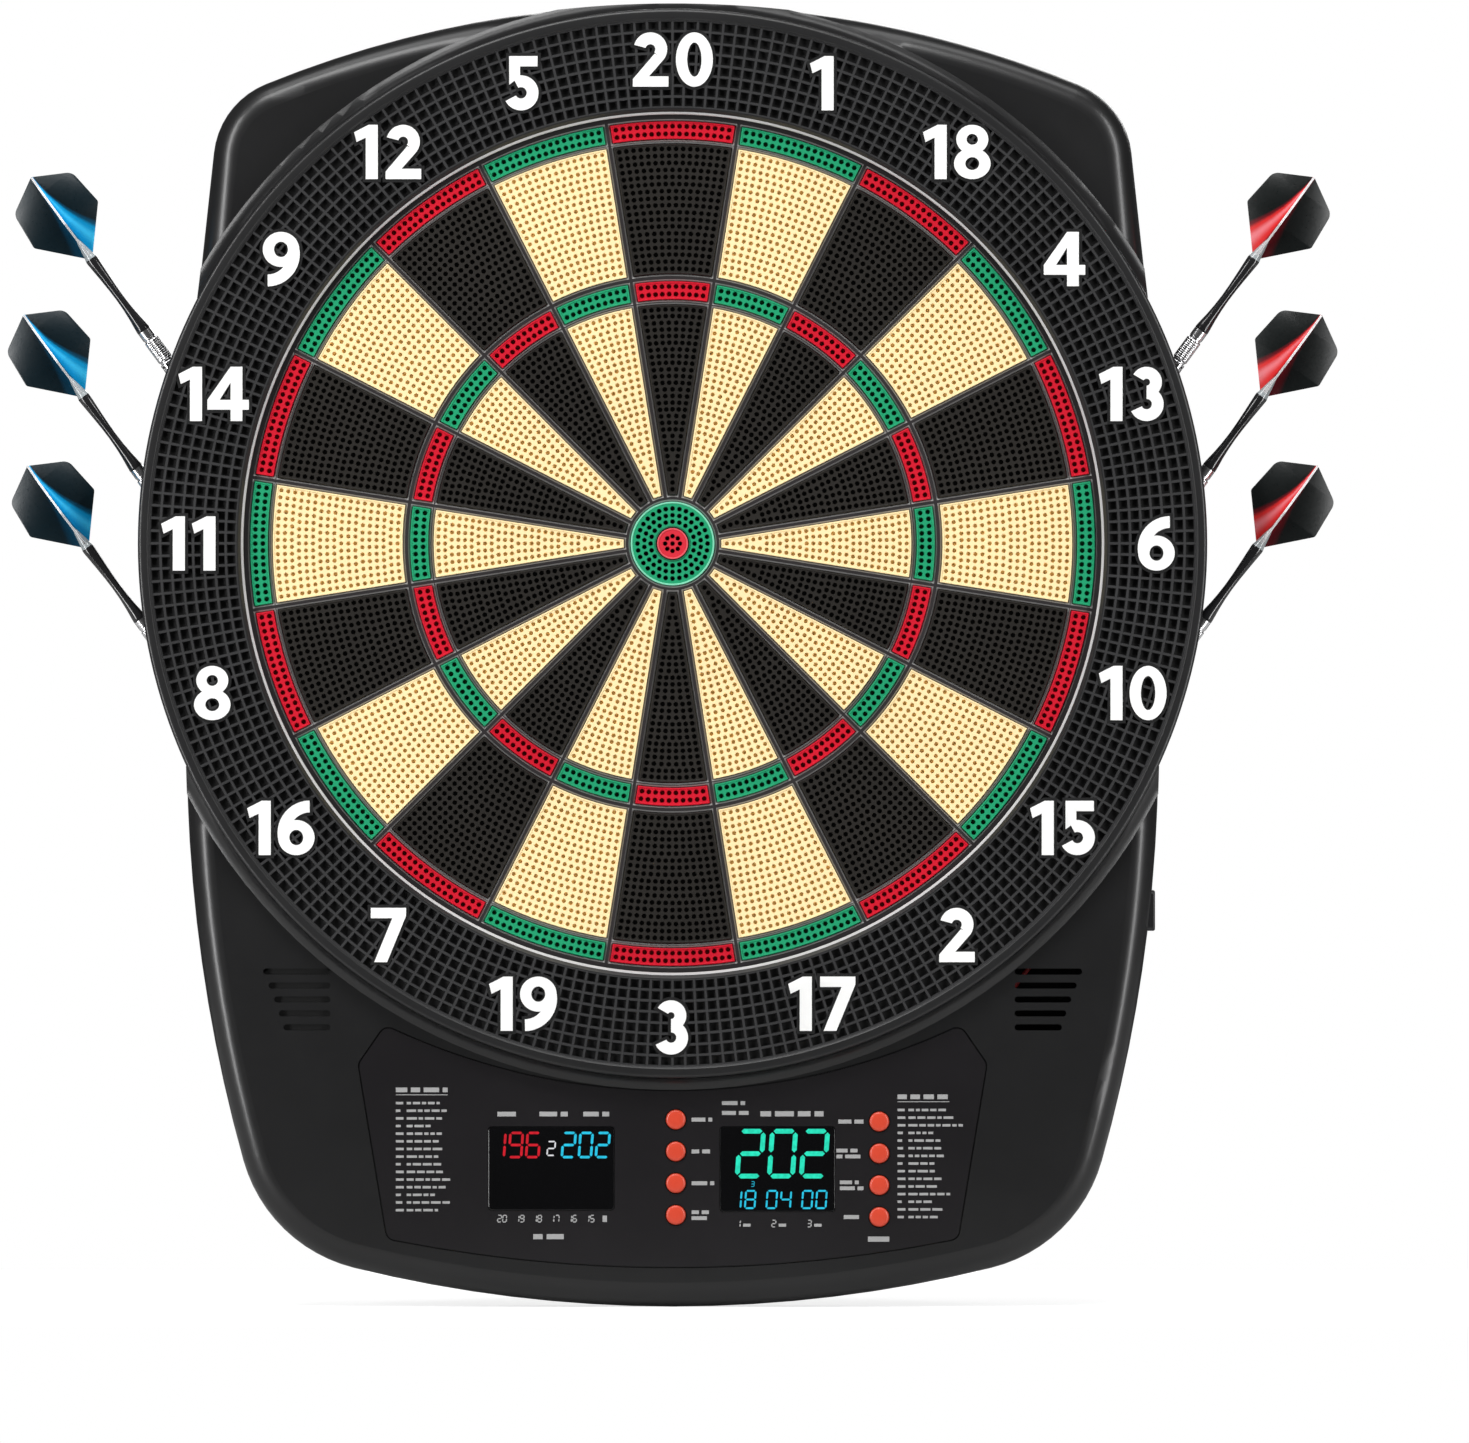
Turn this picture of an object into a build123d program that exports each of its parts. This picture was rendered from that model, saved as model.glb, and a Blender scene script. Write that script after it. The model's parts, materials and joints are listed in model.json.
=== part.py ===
from build123d import *
import os
from math import asin, cos, radians, sin

# Electronic soft-tip dartboard, wall hung, with six darts in side holders.
# Millimetres. +Z up, the face looks along -Y, the origin is on the bull's axis
# at the wall. "Depth" is the distance from the wall towards the player.

os.makedirs("parts", exist_ok=True)

# ---- driving dimensions: depths from the wall -------------------------------
COVER_FLOOR = 2.4
PARTING = 8.0
BACKING_REAR = 9.5
BACKING_PLATE = 16.5
MEMBRANE_REAR = 18.9
DAMPER_REAR = 19.5
DAMPER_FRONT = 20.5
SPIDER_REAR = 21.5
SEGMENT_REAR = 21.7
FLANGE_THICK = 1.2
WALL = 2.4
FACE = 28.0
SPIDER_FRONT = 30.4
SEGMENT_FRONT = 31.2
RING_FLOOR = 33.4
RING_GRID = 35.8
RING_RIM = 37.0

# ---- driving dimensions: radii of the target --------------------------------
RING_OUTER = 216.6
RIM_INNER = 212.0
GRID_INNER = 176.5
RING_INNER = 173.9
SPIDER_RADIUS = 175.2
OPENING_RADIUS = 175.5
BANDS = [(164.0, 171.2), (109.4, 162.0), (99.0, 106.3), (19.8, 96.8)]
BULL_OUTER = 17.0
BULL_BORE = 6.7
BULL_INNER = 6.3
WEDGES = 20
HALF_RIB = 1.5
FLANGE_STEP = 0.6
RUNNING_GAP = 0.3
NUMBERS = [20, 1, 18, 4, 13, 6, 10, 15, 2, 17, 3, 19, 7, 16, 8, 11, 14, 9, 12, 5]

# ---- driving dimensions: numerals -------------------------------------------
NUMERAL_RADIUS = 196.0
STROKE = 4.8
NUMERAL_GAP = 2.8
NUMERAL_TOP = 36.4

# ---- driving dimensions: housing outline ------------------------------------
TOP = 219.0
BOTTOM = -309.6
EDGE_RADIUS = 10.0
CORNER = (184.1, 178.4)
SIDE_TOP = (193.9, 88.0)
SIDE_LOW = (197.2, -80.0)
SIDE_MID = (192.6, -158.6)
LOW_CORNER = (163.7, -284.2)
TOP_CORNER_RADIUS = 34.0
LOW_CORNER_RADIUS = 62.0
ALCOVE_TOP = 92.0
ALCOVE_BOTTOM = -88.0
ALCOVE_RADIUS = 179.0
ALCOVE_REACH = 215.0

# ---- driving dimensions: panel, windows, keys -------------------------------
PANEL_THICK = 1.5
PANEL_RECESS = 1.6
PANEL_GROOVE = 0.6
PAD_REAR = 23.1
LEFT_WINDOW = (-49.2, -253.3, 51.0, 33.8)
RIGHT_WINDOW = (42.5, -253.6, 46.6, 34.4)
LEDGE = 2.0
KEY_RADIUS = 4.0
KEY_FRONT = 29.3
KEYS = {
    "button_game": (1.3, -233.5),
    "button_player": (1.3, -246.4),
    "button_option": (1.3, -259.3),
    "button_reset": (1.3, -272.2),
    "button_power": (83.8, -234.3),
    "button_volume": (83.8, -247.2),
    "button_miss": (83.8, -260.1),
    "button_enter": (83.8, -273.0),
}
BOARD = (-78.0, -283.0, 96.0, -222.0)
BOARD_REAR = 16.4
BOARD_FRONT = 18.0
TAIL_X = 28.0

# ---- driving dimensions: speaker and socket ---------------------------------
SLOT_HEIGHT = 2.5
SLOT_TOP = -173.5
SLOT_PITCH = 5.65
SLOT_INNER = 138.7
SLOT_OUTER = [166.0, 163.8, 161.6, 159.6, 157.8]
SPEAKER = (-152.0, -186.0)
SPEAKER_RADIUS = 18.0
SOCKET_Z = -148.8
SOCKET_DEPTH = 14.5
BEZEL_HEIGHT = 16.6
BEZEL_WIDTH = 11.0
BEZEL_FRONT = 195.8
JACK_BORE = 2.8

# ---- driving dimensions: fasteners and wall hangers -------------------------
CASE_POINTS = [(60, 200), (165, 150), (175, -110), (165, -215), (95, -291)]
LUG_RADIUS = 186.0
LUG_ANGLES = [52, 128, 232, 308]
RING_SCREW_RADIUS = 195.0
RING_SCREW_ANGLES = [45, 75, 105, 135, 225, 255, 285, 315]
BOARD_POINTS = [(-72, -226), (-72, -278.5), (90, -226), (92, -279)]
SHANK = 1.2
PILOT = 1.25
HANGER_X = 90.0
HANGER_Z = 160.0
HANGER_HEAD = 4.5
HANGER_SLOT = 2.2
HANGER_RISE = 10.0

# ---- driving dimensions: darts ----------------------------------------------
DART_ANGLE = 53.6
DART_DEPTH = 17.0
DART_TAILS = {"upper": (260.5, 148.9), "middle": (263.6, 93.0), "lower": (262.0, 31.7)}
FLIGHT_LENGTH = 40.5
SHAFT_END = 77.5
BARREL_END = 117.5
TIP_END = 138.5
BARREL_RADIUS = 3.25
TIP_RADIUS = 2.3
SOCKET_BORE = 2.7
BOSS_RADIUS = 6.0
HOLDER_BASE = 5.1


def at_depth(depth):
    """A plane facing the player, at a depth from the wall."""
    return Plane.XZ.offset(depth)


def save(shape, name):
    """Label one finished piece and write it."""
    shape.label = name
    export_step(shape, f"parts/{name}.step")


# ---- target segments --------------------------------------------------------
def corner(radius, inset, side, heading):
    """A wedge's corner, its side edge standing parallel to the wire by the inset."""
    half = radians(180 / WEDGES) - asin(inset / radius)
    angle = radians(heading) + side * half
    return (radius * sin(angle), radius * cos(angle))


def wedge_face(low, high, inset, heading):
    """A sketch face between two radii, in the wedge that points along heading."""
    up = (sin(radians(heading)), cos(radians(heading)))
    with BuildLine() as edge:
        ThreePointArc(
            corner(high, inset, -1, heading),
            (high * up[0], high * up[1]),
            corner(high, inset, 1, heading),
        )
        Line(corner(high, inset, 1, heading), corner(low, inset, 1, heading))
        ThreePointArc(
            corner(low, inset, 1, heading),
            (low * up[0], low * up[1]),
            corner(low, inset, -1, heading),
        )
        Line(corner(low, inset, -1, heading), corner(high, inset, -1, heading))
    make_face(edge.edges())


FLANGE_FRONT = SEGMENT_REAR + FLANGE_THICK

for index, number in enumerate(NUMBERS):
    heading = index * 360 / WEDGES
    with BuildPart() as wedge:
        with BuildSketch(at_depth(SEGMENT_REAR)):
            for low, high in BANDS:
                wedge_face(low, high, HALF_RIB - FLANGE_STEP, heading)
        extrude(amount=FLANGE_THICK)
        with BuildSketch(at_depth(FLANGE_FRONT)):
            for low, high in BANDS:
                wedge_face(low, high, HALF_RIB, heading)
        extrude(amount=SEGMENT_FRONT - FLANGE_FRONT)
    save(wedge.part, f"wedge_{number:02d}")

# The bull: a ring with a counterbored back, and a button inside it.
with BuildPart() as bull_outer:
    with BuildSketch(at_depth(SEGMENT_REAR)):
        Circle(BULL_OUTER + FLANGE_STEP)
    extrude(amount=FLANGE_THICK)
    with BuildSketch(at_depth(FLANGE_FRONT)):
        Circle(BULL_OUTER)
    extrude(amount=SEGMENT_FRONT - FLANGE_FRONT)
    with BuildSketch(at_depth(SEGMENT_REAR)):
        Circle(BULL_BORE)
    extrude(amount=SEGMENT_FRONT - SEGMENT_REAR, mode=Mode.SUBTRACT)
    with BuildSketch(at_depth(SEGMENT_REAR)):
        Circle(BULL_BORE + 1.0)
    extrude(amount=FLANGE_THICK + 1.4, mode=Mode.SUBTRACT)
save(bull_outer.part, "bull_outer")

with BuildPart() as bull_inner:
    with BuildSketch(at_depth(SEGMENT_REAR)):
        Circle(BULL_BORE + 0.6)
    extrude(amount=FLANGE_THICK)
    with BuildSketch(at_depth(FLANGE_FRONT)):
        Circle(BULL_INNER)
    extrude(amount=SEGMENT_FRONT - FLANGE_FRONT)
save(bull_inner.part, "bull_inner")

# ---- spider: the web that guides the segments -------------------------------
REBATE = SEGMENT_REAR + FLANGE_THICK + 0.2
FRONT_INSET = HALF_RIB - RUNNING_GAP
REAR_INSET = HALF_RIB - FLANGE_STEP - RUNNING_GAP


def pocket_wedge(inset):
    """The four openings of one wedge, about the 12 o'clock line."""
    with BuildSketch() as pockets:
        for low, high in BANDS:
            wedge_face(low - RUNNING_GAP, high + RUNNING_GAP, inset, 0)
    return pockets.sketch


front_pockets = pocket_wedge(FRONT_INSET)
rear_pockets = pocket_wedge(REAR_INSET)

with BuildPart() as spider:
    with BuildSketch(at_depth(SPIDER_REAR)):
        Circle(SPIDER_RADIUS)
        Circle(BULL_OUTER + FLANGE_STEP + RUNNING_GAP, mode=Mode.SUBTRACT)
        with PolarLocations(0, WEDGES):
            add(rear_pockets, mode=Mode.SUBTRACT)
    extrude(amount=REBATE - SPIDER_REAR)
    with BuildSketch(at_depth(REBATE)):
        Circle(SPIDER_RADIUS)
        Circle(BULL_OUTER + RUNNING_GAP, mode=Mode.SUBTRACT)
        with PolarLocations(0, WEDGES):
            add(front_pockets, mode=Mode.SUBTRACT)
    extrude(amount=SPIDER_FRONT - REBATE)
save(spider.part, "spider")

# ---- layers behind the segments ---------------------------------------------
SHEET_RADIUS = 171.4

with BuildPart() as damper_sheet:
    with BuildSketch(at_depth(DAMPER_REAR)):
        Circle(SHEET_RADIUS)
    extrude(amount=DAMPER_FRONT - DAMPER_REAR)
save(damper_sheet.part, "damper_sheet")

with BuildPart() as contact_membrane:
    with BuildSketch(at_depth(MEMBRANE_REAR)):
        Circle(SHEET_RADIUS)
    extrude(amount=DAMPER_REAR - MEMBRANE_REAR)
save(contact_membrane.part, "contact_membrane")

# Two flat tails run down from the membrane's edge to the board's connectors.
TAIL_WIDTH = 16.0
TAIL_END = -226.0

with BuildPart() as membrane_tails:
    with BuildSketch(at_depth(MEMBRANE_REAR + 0.05)):
        for side in (-1, 1):
            with Locations((side * TAIL_X, (TAIL_END - SHEET_RADIUS) / 2)):
                Rectangle(TAIL_WIDTH, -TAIL_END - SHEET_RADIUS)
    extrude(amount=0.4)
save(membrane_tails.part, "membrane_tails")

# Backing plate: a disc with a front rim, rear ribs and four screw lugs.
RIM_WIDTH = 3.4
RIB_THICK = 2.0
TAIL_NOTCH = TAIL_WIDTH + 4.0

with BuildPart() as backing_plate:
    with BuildSketch(at_depth(BACKING_PLATE)):
        Circle(SPIDER_RADIUS)
        for angle in LUG_ANGLES:
            with Locations(Rotation(0, 0, angle)):
                with Locations((LUG_RADIUS - 7, 0)):
                    SlotOverall(24, 10)
    extrude(amount=MEMBRANE_REAR - BACKING_PLATE)
    with BuildSketch(at_depth(MEMBRANE_REAR)):
        Circle(SPIDER_RADIUS)
        Circle(SPIDER_RADIUS - RIM_WIDTH, mode=Mode.SUBTRACT)
    extrude(amount=SPIDER_REAR - MEMBRANE_REAR)
    with BuildSketch(at_depth(BACKING_REAR)):
        for radius in (60, 120, SPIDER_RADIUS):
            Circle(radius)
            Circle(radius - RIB_THICK, mode=Mode.SUBTRACT)
        with PolarLocations(117, 12, start_angle=15):
            Rectangle(114, RIB_THICK)
    extrude(amount=BACKING_PLATE - BACKING_REAR)
    with BuildSketch(at_depth(MEMBRANE_REAR)):
        with Locations((-TAIL_X, -SHEET_RADIUS), (TAIL_X, -SHEET_RADIUS)):
            Rectangle(TAIL_NOTCH, 20)
    extrude(amount=SPIDER_REAR - MEMBRANE_REAR, mode=Mode.SUBTRACT)
    with BuildSketch(at_depth(BACKING_PLATE)):
        for angle in LUG_ANGLES:
            with Locations(Rotation(0, 0, angle)):
                with Locations((LUG_RADIUS, 0)):
                    Circle(SHANK + 0.3)
    extrude(amount=MEMBRANE_REAR - BACKING_PLATE, mode=Mode.SUBTRACT)
save(backing_plate.part, "backing_plate")

# ---- catch ring: the raised number ring -------------------------------------
RING_SKIN = 31.4
RING_WALL = 3.0
RING_RIBS = 20

with BuildPart() as catch_ring:
    with BuildSketch(Plane.XY) as section:
        with BuildLine():
            Polyline(
                (RING_INNER, -30.5),
                (RING_INNER, -33.0),
                (GRID_INNER, -RING_GRID),
                (GRID_INNER + 0.6, -RING_GRID),
                (GRID_INNER + 0.6, -RING_FLOOR),
                (RIM_INNER, -RING_FLOOR),
                (RIM_INNER, -RING_RIM),
                (RING_OUTER - 0.8, -RING_RIM),
                (RING_OUTER, -RING_RIM + 0.8),
                (RING_OUTER, -FACE),
                (RING_OUTER - RING_WALL, -FACE),
                (RING_OUTER - RING_WALL, -RING_SKIN),
                (GRID_INNER + RING_WALL, -RING_SKIN),
                (GRID_INNER + RING_WALL, -FACE),
                (GRID_INNER, -FACE),
                (GRID_INNER, -30.5),
                close=True,
            )
        make_face()
    revolve(axis=Axis.Y)
    with BuildSketch(at_depth(FACE)):
        with PolarLocations((RING_OUTER + GRID_INNER) / 2, RING_RIBS, start_angle=9):
            Rectangle(RING_OUTER - GRID_INNER - 3, 1.6)
        for angle in RING_SCREW_ANGLES:
            with Locations(Rotation(0, 0, angle)):
                with Locations((RING_SCREW_RADIUS, 0)):
                    Circle(3.6)
    extrude(amount=RING_SKIN - FACE + 0.2)
    with BuildSketch(at_depth(FACE)):
        for angle in RING_SCREW_ANGLES:
            with Locations(Rotation(0, 0, angle)):
                with Locations((RING_SCREW_RADIUS, 0)):
                    Circle(PILOT)
    extrude(amount=4.4, mode=Mode.SUBTRACT)
save(catch_ring.part, "catch_ring")


# ---- numerals: raised inserts that stand in the ring's grid -----------------
def ellipse_ring(centre, outer, inner):
    """An oval loop, such as the bowl of a 6."""
    with Locations(centre):
        Ellipse(*outer)
        Ellipse(*inner, mode=Mode.SUBTRACT)


def arc_stroke(centre, radius, start, size):
    """A thick arc, with its centre line at the radius."""
    with BuildLine() as middle:
        CenterArc(centre, radius, start, size)
    trace(middle.edges(), line_width=STROKE)


def polygon(*points):
    """A filled outline at its own coordinates."""
    Polygon(*points, align=None)


def digit(value):
    """One bold digit, 22 tall, centred on the origin."""
    with BuildSketch() as shape:
        if value == 0:
            ellipse_ring((0, 0), (7.5, 11), (2.9, 6.9))
        if value == 1:
            polygon((4.7, -11), (4.7, 11), (1, 11), (-4.9, 8), (-3.9, 4), (-0.2, 5.8), (-0.2, -11))
        if value == 2:
            arc_stroke((-0.1, 4.2), 4.4, 165, -205)
            polygon((1.6, 2.4), (5.6, 0.4), (-0.7, -6.8), (7.2, -6.8), (7.2, -11), (-7.2, -11),
                    (-7.2, -7.9))
        if value == 3:
            arc_stroke((-0.6, 4.8), 3.8, 150, -240)
            arc_stroke((-0.6, -4.1), 4.5, 90, -245)
        if value == 4:
            polygon((6, 11), (6, -11), (1.2, -11), (1.2, 11))
            polygon((8.6, -2.4), (8.6, -6.4), (-8.2, -6.4), (-8.2, -2.4))
            polygon((1.2, 11), (1.2, 4.6), (-3.2, -2.4), (-8.2, -2.4))
        if value == 5:
            arc_stroke((-0.8, -3.9), 4.7, 118, -270)
            polygon((-5.6, 11), (5.9, 11), (5.9, 6.8), (-1.2, 6.8), (-1.2, 2.6), (-5.6, -0.6))
        if value == 6:
            ellipse_ring((0, -3.9), (7.4, 7.1), (2.8, 3.1))
            with BuildLine():
                ThreePointArc((-5.1, -3.6), (-2.3, 5.3), (5.4, 8.7))
            trace(line_width=STROKE)
        if value == 7:
            polygon((-7, 11), (7.3, 11), (7.3, 7.8), (-0.4, -11), (-5.6, -11), (1.7, 6.8), (-7, 6.8))
        if value == 8:
            ellipse_ring((0, 5.1), (6.5, 5.9), (2.3, 2.2))
            ellipse_ring((0, -4.7), (7.4, 6.3), (2.8, 2.6))
        if value == 9:
            add(digit(6), rotation=180)
    return shape.sketch


NARROW = 9.6
WIDE = 14.9


def digit_width(value):
    """A 1 is narrow, every other digit is wide."""
    return NARROW if value == 1 else WIDE


with BuildPart() as numerals:
    with BuildSketch(at_depth(RING_FLOOR)):
        for index, number in enumerate(NUMBERS):
            angle = radians(index * 360 / WEDGES)
            digits = [int(letter) for letter in str(number)]
            total = sum(digit_width(value) for value in digits) + NUMERAL_GAP * (len(digits) - 1)
            start = NUMERAL_RADIUS * sin(angle) - total / 2
            for value in digits:
                middle = start + digit_width(value) / 2
                with Locations((middle, NUMERAL_RADIUS * cos(angle))):
                    add(digit(value))
                start += digit_width(value) + NUMERAL_GAP
    extrude(amount=NUMERAL_TOP - RING_FLOOR)
save(numerals.part, "numerals")


# ---- housing ----------------------------------------------------------------
def outline():
    """The board's outline: arched top, bulging sides, bowed bottom."""
    with BuildLine() as edge:
        ThreePointArc((-CORNER[0], CORNER[1]), (0, TOP), CORNER)
        Line(CORNER, SIDE_TOP)
        Line(SIDE_TOP, SIDE_LOW)
        ThreePointArc(SIDE_LOW, SIDE_MID, LOW_CORNER)
        ThreePointArc(LOW_CORNER, (0, BOTTOM), (-LOW_CORNER[0], LOW_CORNER[1]))
        ThreePointArc(
            (-LOW_CORNER[0], LOW_CORNER[1]),
            (-SIDE_MID[0], SIDE_MID[1]),
            (-SIDE_LOW[0], SIDE_LOW[1]),
        )
        Line((-SIDE_LOW[0], SIDE_LOW[1]), (-SIDE_TOP[0], SIDE_TOP[1]))
        Line((-SIDE_TOP[0], SIDE_TOP[1]), (-CORNER[0], CORNER[1]))
    make_face(edge.edges())


def alcove(grow):
    """The dart space at both sides, behind the ring; grow adds the case wall."""
    height = ALCOVE_TOP - ALCOVE_BOTTOM + 2 * grow
    with Locations((0, (ALCOVE_TOP + ALCOVE_BOTTOM) / 2)):
        Rectangle(2 * ALCOVE_REACH, height, mode=Mode.SUBTRACT)


with BuildSketch() as outer_shape:
    outline()
    fillet(outer_shape.vertices().filter_by_position(Axis.Y, 150, 200), TOP_CORNER_RADIUS)
    fillet(outer_shape.vertices().filter_by_position(Axis.Y, -300, -260), LOW_CORNER_RADIUS)
with BuildSketch() as inner_shape:
    outline()
    offset(amount=-WALL, kind=Kind.INTERSECTION)
    fillet(inner_shape.vertices().filter_by_position(Axis.Y, 150, 200), TOP_CORNER_RADIUS - WALL)
    fillet(inner_shape.vertices().filter_by_position(Axis.Y, -300, -260), LOW_CORNER_RADIUS - WALL)
with BuildSketch() as case_shape:
    add(outer_shape.sketch)
    alcove(0)
    Circle(ALCOVE_RADIUS)
with BuildSketch() as cavity_shape:
    add(inner_shape.sketch)
    alcove(WALL)
    Circle(ALCOVE_RADIUS - WALL)
with BuildSketch() as alcove_cut:
    with Locations((0, (ALCOVE_TOP + ALCOVE_BOTTOM) / 2)):
        Rectangle(2 * ALCOVE_REACH, ALCOVE_TOP - ALCOVE_BOTTOM)
    Circle(ALCOVE_RADIUS, mode=Mode.SUBTRACT)
with BuildSketch() as cavity_keep:
    with Locations((0, (ALCOVE_TOP + ALCOVE_BOTTOM) / 2)):
        Rectangle(2 * ALCOVE_REACH, ALCOVE_TOP - ALCOVE_BOTTOM + 2 * WALL)
    Circle(ALCOVE_RADIUS - WALL, mode=Mode.SUBTRACT)

PANEL_TOP = -222.0
PANEL_TOP_SIDE = (116.5, -195.5)
PANEL_SHOULDER = (127.2, -211.0)
PANEL_FOOT = (115.6, -281.6)
PANEL_BOTTOM = -293.2

with BuildSketch() as panel_shape:
    with BuildLine():
        ThreePointArc((-PANEL_TOP_SIDE[0], PANEL_TOP_SIDE[1]), (0, PANEL_TOP), PANEL_TOP_SIDE)
        Line(PANEL_TOP_SIDE, PANEL_SHOULDER)
        Line(PANEL_SHOULDER, PANEL_FOOT)
        ThreePointArc(PANEL_FOOT, (0, PANEL_BOTTOM), (-PANEL_FOOT[0], PANEL_FOOT[1]))
        Line((-PANEL_FOOT[0], PANEL_FOOT[1]), (-PANEL_SHOULDER[0], PANEL_SHOULDER[1]))
        Line((-PANEL_SHOULDER[0], PANEL_SHOULDER[1]), (-PANEL_TOP_SIDE[0], PANEL_TOP_SIDE[1]))
    make_face()
    fillet(panel_shape.vertices(), 4)
with BuildSketch() as panel_recess:
    add(panel_shape.sketch)
    offset(amount=PANEL_GROOVE)
with BuildSketch() as panel_pad:
    add(panel_shape.sketch)
    offset(amount=3)


def window_faces(shrink):
    """The two display windows, made smaller by the ledge they rest on."""
    for x, z, width, height in (LEFT_WINDOW, RIGHT_WINDOW):
        with Locations((x, z)):
            RectangleRounded(width - 2 * shrink, height - 2 * shrink, 1.5)


def both_sides(points):
    """Points and their mirror images."""
    return [(side * x, z) for x, z in points for side in (-1, 1)]


# The hollow inside the case, as one solid with a rounded front edge.
with BuildPart() as hollow:
    with BuildSketch(at_depth(PARTING)):
        add(inner_shape.sketch)
    extrude(amount=FACE - WALL - PARTING)
    fillet(hollow.faces().sort_by(Axis.Y)[0].edges(), EDGE_RADIUS - WALL)
    with BuildSketch(at_depth(PARTING)):
        add(cavity_keep.sketch)
    extrude(amount=FACE - PARTING, mode=Mode.SUBTRACT)

COVE_OUTER = 221.5
COVE_TOP = 33.0

with BuildPart() as cove:
    with BuildSketch(at_depth(20)):
        add(outer_shape.sketch)
        add(alcove_cut.sketch, mode=Mode.SUBTRACT)
    extrude(amount=COVE_TOP - 20)
    with BuildSketch(Plane.XY):
        with BuildLine():
            Line((RING_OUTER + 0.2, -22), (RING_OUTER + 0.2, -COVE_TOP))
            ThreePointArc(
                (RING_OUTER + 0.2, -COVE_TOP),
                (RING_OUTER + 1.9, -30.0),
                (COVE_OUTER, -FACE),
            )
            Line((COVE_OUTER, -FACE), (COVE_OUTER, -22))
            Line((COVE_OUTER, -22), (RING_OUTER + 0.2, -22))
        make_face()
    revolve(axis=Axis.Y, mode=Mode.INTERSECT)

with BuildPart() as front_housing:
    with BuildSketch(at_depth(PARTING)):
        add(outer_shape.sketch)
    extrude(amount=FACE - PARTING)
    fillet(front_housing.faces().sort_by(Axis.Y)[0].edges(), EDGE_RADIUS)
    with BuildSketch(at_depth(PARTING)):
        add(alcove_cut.sketch)
    extrude(amount=FACE - PARTING, mode=Mode.SUBTRACT)
    add(hollow.part, mode=Mode.SUBTRACT)
    add(cove.part)
    with BuildSketch(at_depth(FACE - WALL)):
        Circle(OPENING_RADIUS)
    extrude(amount=WALL, mode=Mode.SUBTRACT)
    with BuildSketch(at_depth(PAD_REAR)):
        add(panel_pad.sketch)
    extrude(amount=FACE - WALL - PAD_REAR)
    with BuildSketch(at_depth(FACE - PANEL_RECESS)):
        add(panel_recess.sketch)
    extrude(amount=PANEL_RECESS, mode=Mode.SUBTRACT)
    with BuildSketch(at_depth(PAD_REAR)):
        window_faces(LEDGE)
        with Locations(*KEYS.values()):
            Circle(KEY_RADIUS + 0.35)
    extrude(amount=FACE - PAD_REAR, mode=Mode.SUBTRACT)
    with BuildSketch(at_depth(FACE - WALL)):
        for row, reach in enumerate(SLOT_OUTER):
            with Locations(*both_sides([((reach + SLOT_INNER) / 2, SLOT_TOP - row * SLOT_PITCH)])):
                SlotOverall(reach - SLOT_INNER, SLOT_HEIGHT)
    extrude(amount=WALL, mode=Mode.SUBTRACT)
    with BuildSketch(at_depth(PARTING)):
        with Locations(*both_sides(CASE_POINTS)):
            Circle(4)
    extrude(amount=FACE - WALL - PARTING)
    with BuildSketch(at_depth(MEMBRANE_REAR)):
        for angle in LUG_ANGLES:
            with Locations(Rotation(0, 0, angle)):
                with Locations((LUG_RADIUS, 0)):
                    Circle(4)
    extrude(amount=FACE - WALL - MEMBRANE_REAR)
    with BuildSketch(at_depth(BOARD_FRONT)):
        with Locations(*BOARD_POINTS):
            Circle(3)
    extrude(amount=PAD_REAR - BOARD_FRONT)
    with BuildSketch(at_depth(20)):
        with Locations(SPEAKER):
            with PolarLocations(SPEAKER_RADIUS + 4, 3, start_angle=30):
                Circle(2.8)
    extrude(amount=FACE - WALL - 20)
    # Pilot holes for every screw that bites into the housing.
    with BuildSketch(at_depth(PARTING)):
        with Locations(*both_sides(CASE_POINTS)):
            Circle(PILOT)
        for angle in LUG_ANGLES:
            with Locations(Rotation(0, 0, angle)):
                with Locations((LUG_RADIUS, 0)):
                    Circle(PILOT)
        with Locations(*BOARD_POINTS):
            Circle(PILOT)
        with Locations(SPEAKER):
            with PolarLocations(SPEAKER_RADIUS + 4, 3, start_angle=30):
                Circle(PILOT)
    extrude(amount=FACE - WALL - PARTING - 1, mode=Mode.SUBTRACT)
    with BuildSketch(at_depth(FACE - WALL)):
        for angle in RING_SCREW_ANGLES:
            with Locations(Rotation(0, 0, angle)):
                with Locations((RING_SCREW_RADIUS, 0)):
                    Circle(SHANK + 0.3)
    extrude(amount=WALL, mode=Mode.SUBTRACT)
    with Locations((BEZEL_FRONT - 8, -SOCKET_DEPTH, SOCKET_Z)):
        Box(20, BEZEL_WIDTH + 0.2, BEZEL_HEIGHT + 0.2, mode=Mode.SUBTRACT)
save(front_housing.part, "front_housing")

# Rear cover: a shallow tray whose floor runs out behind the dart spaces.
SCREW_SEAT = 5.0
COVER_EDGE = 1.6
# The holders' moulded pins pass through the cover's floor and are staked over.
HOLDER_PINS = [(186.0, 66.0), (186.0, 12.0), (188.0, -52.0)]
HOLDER_PIN = 1.6
HOLDER_PIN_END = 0.6

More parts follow.
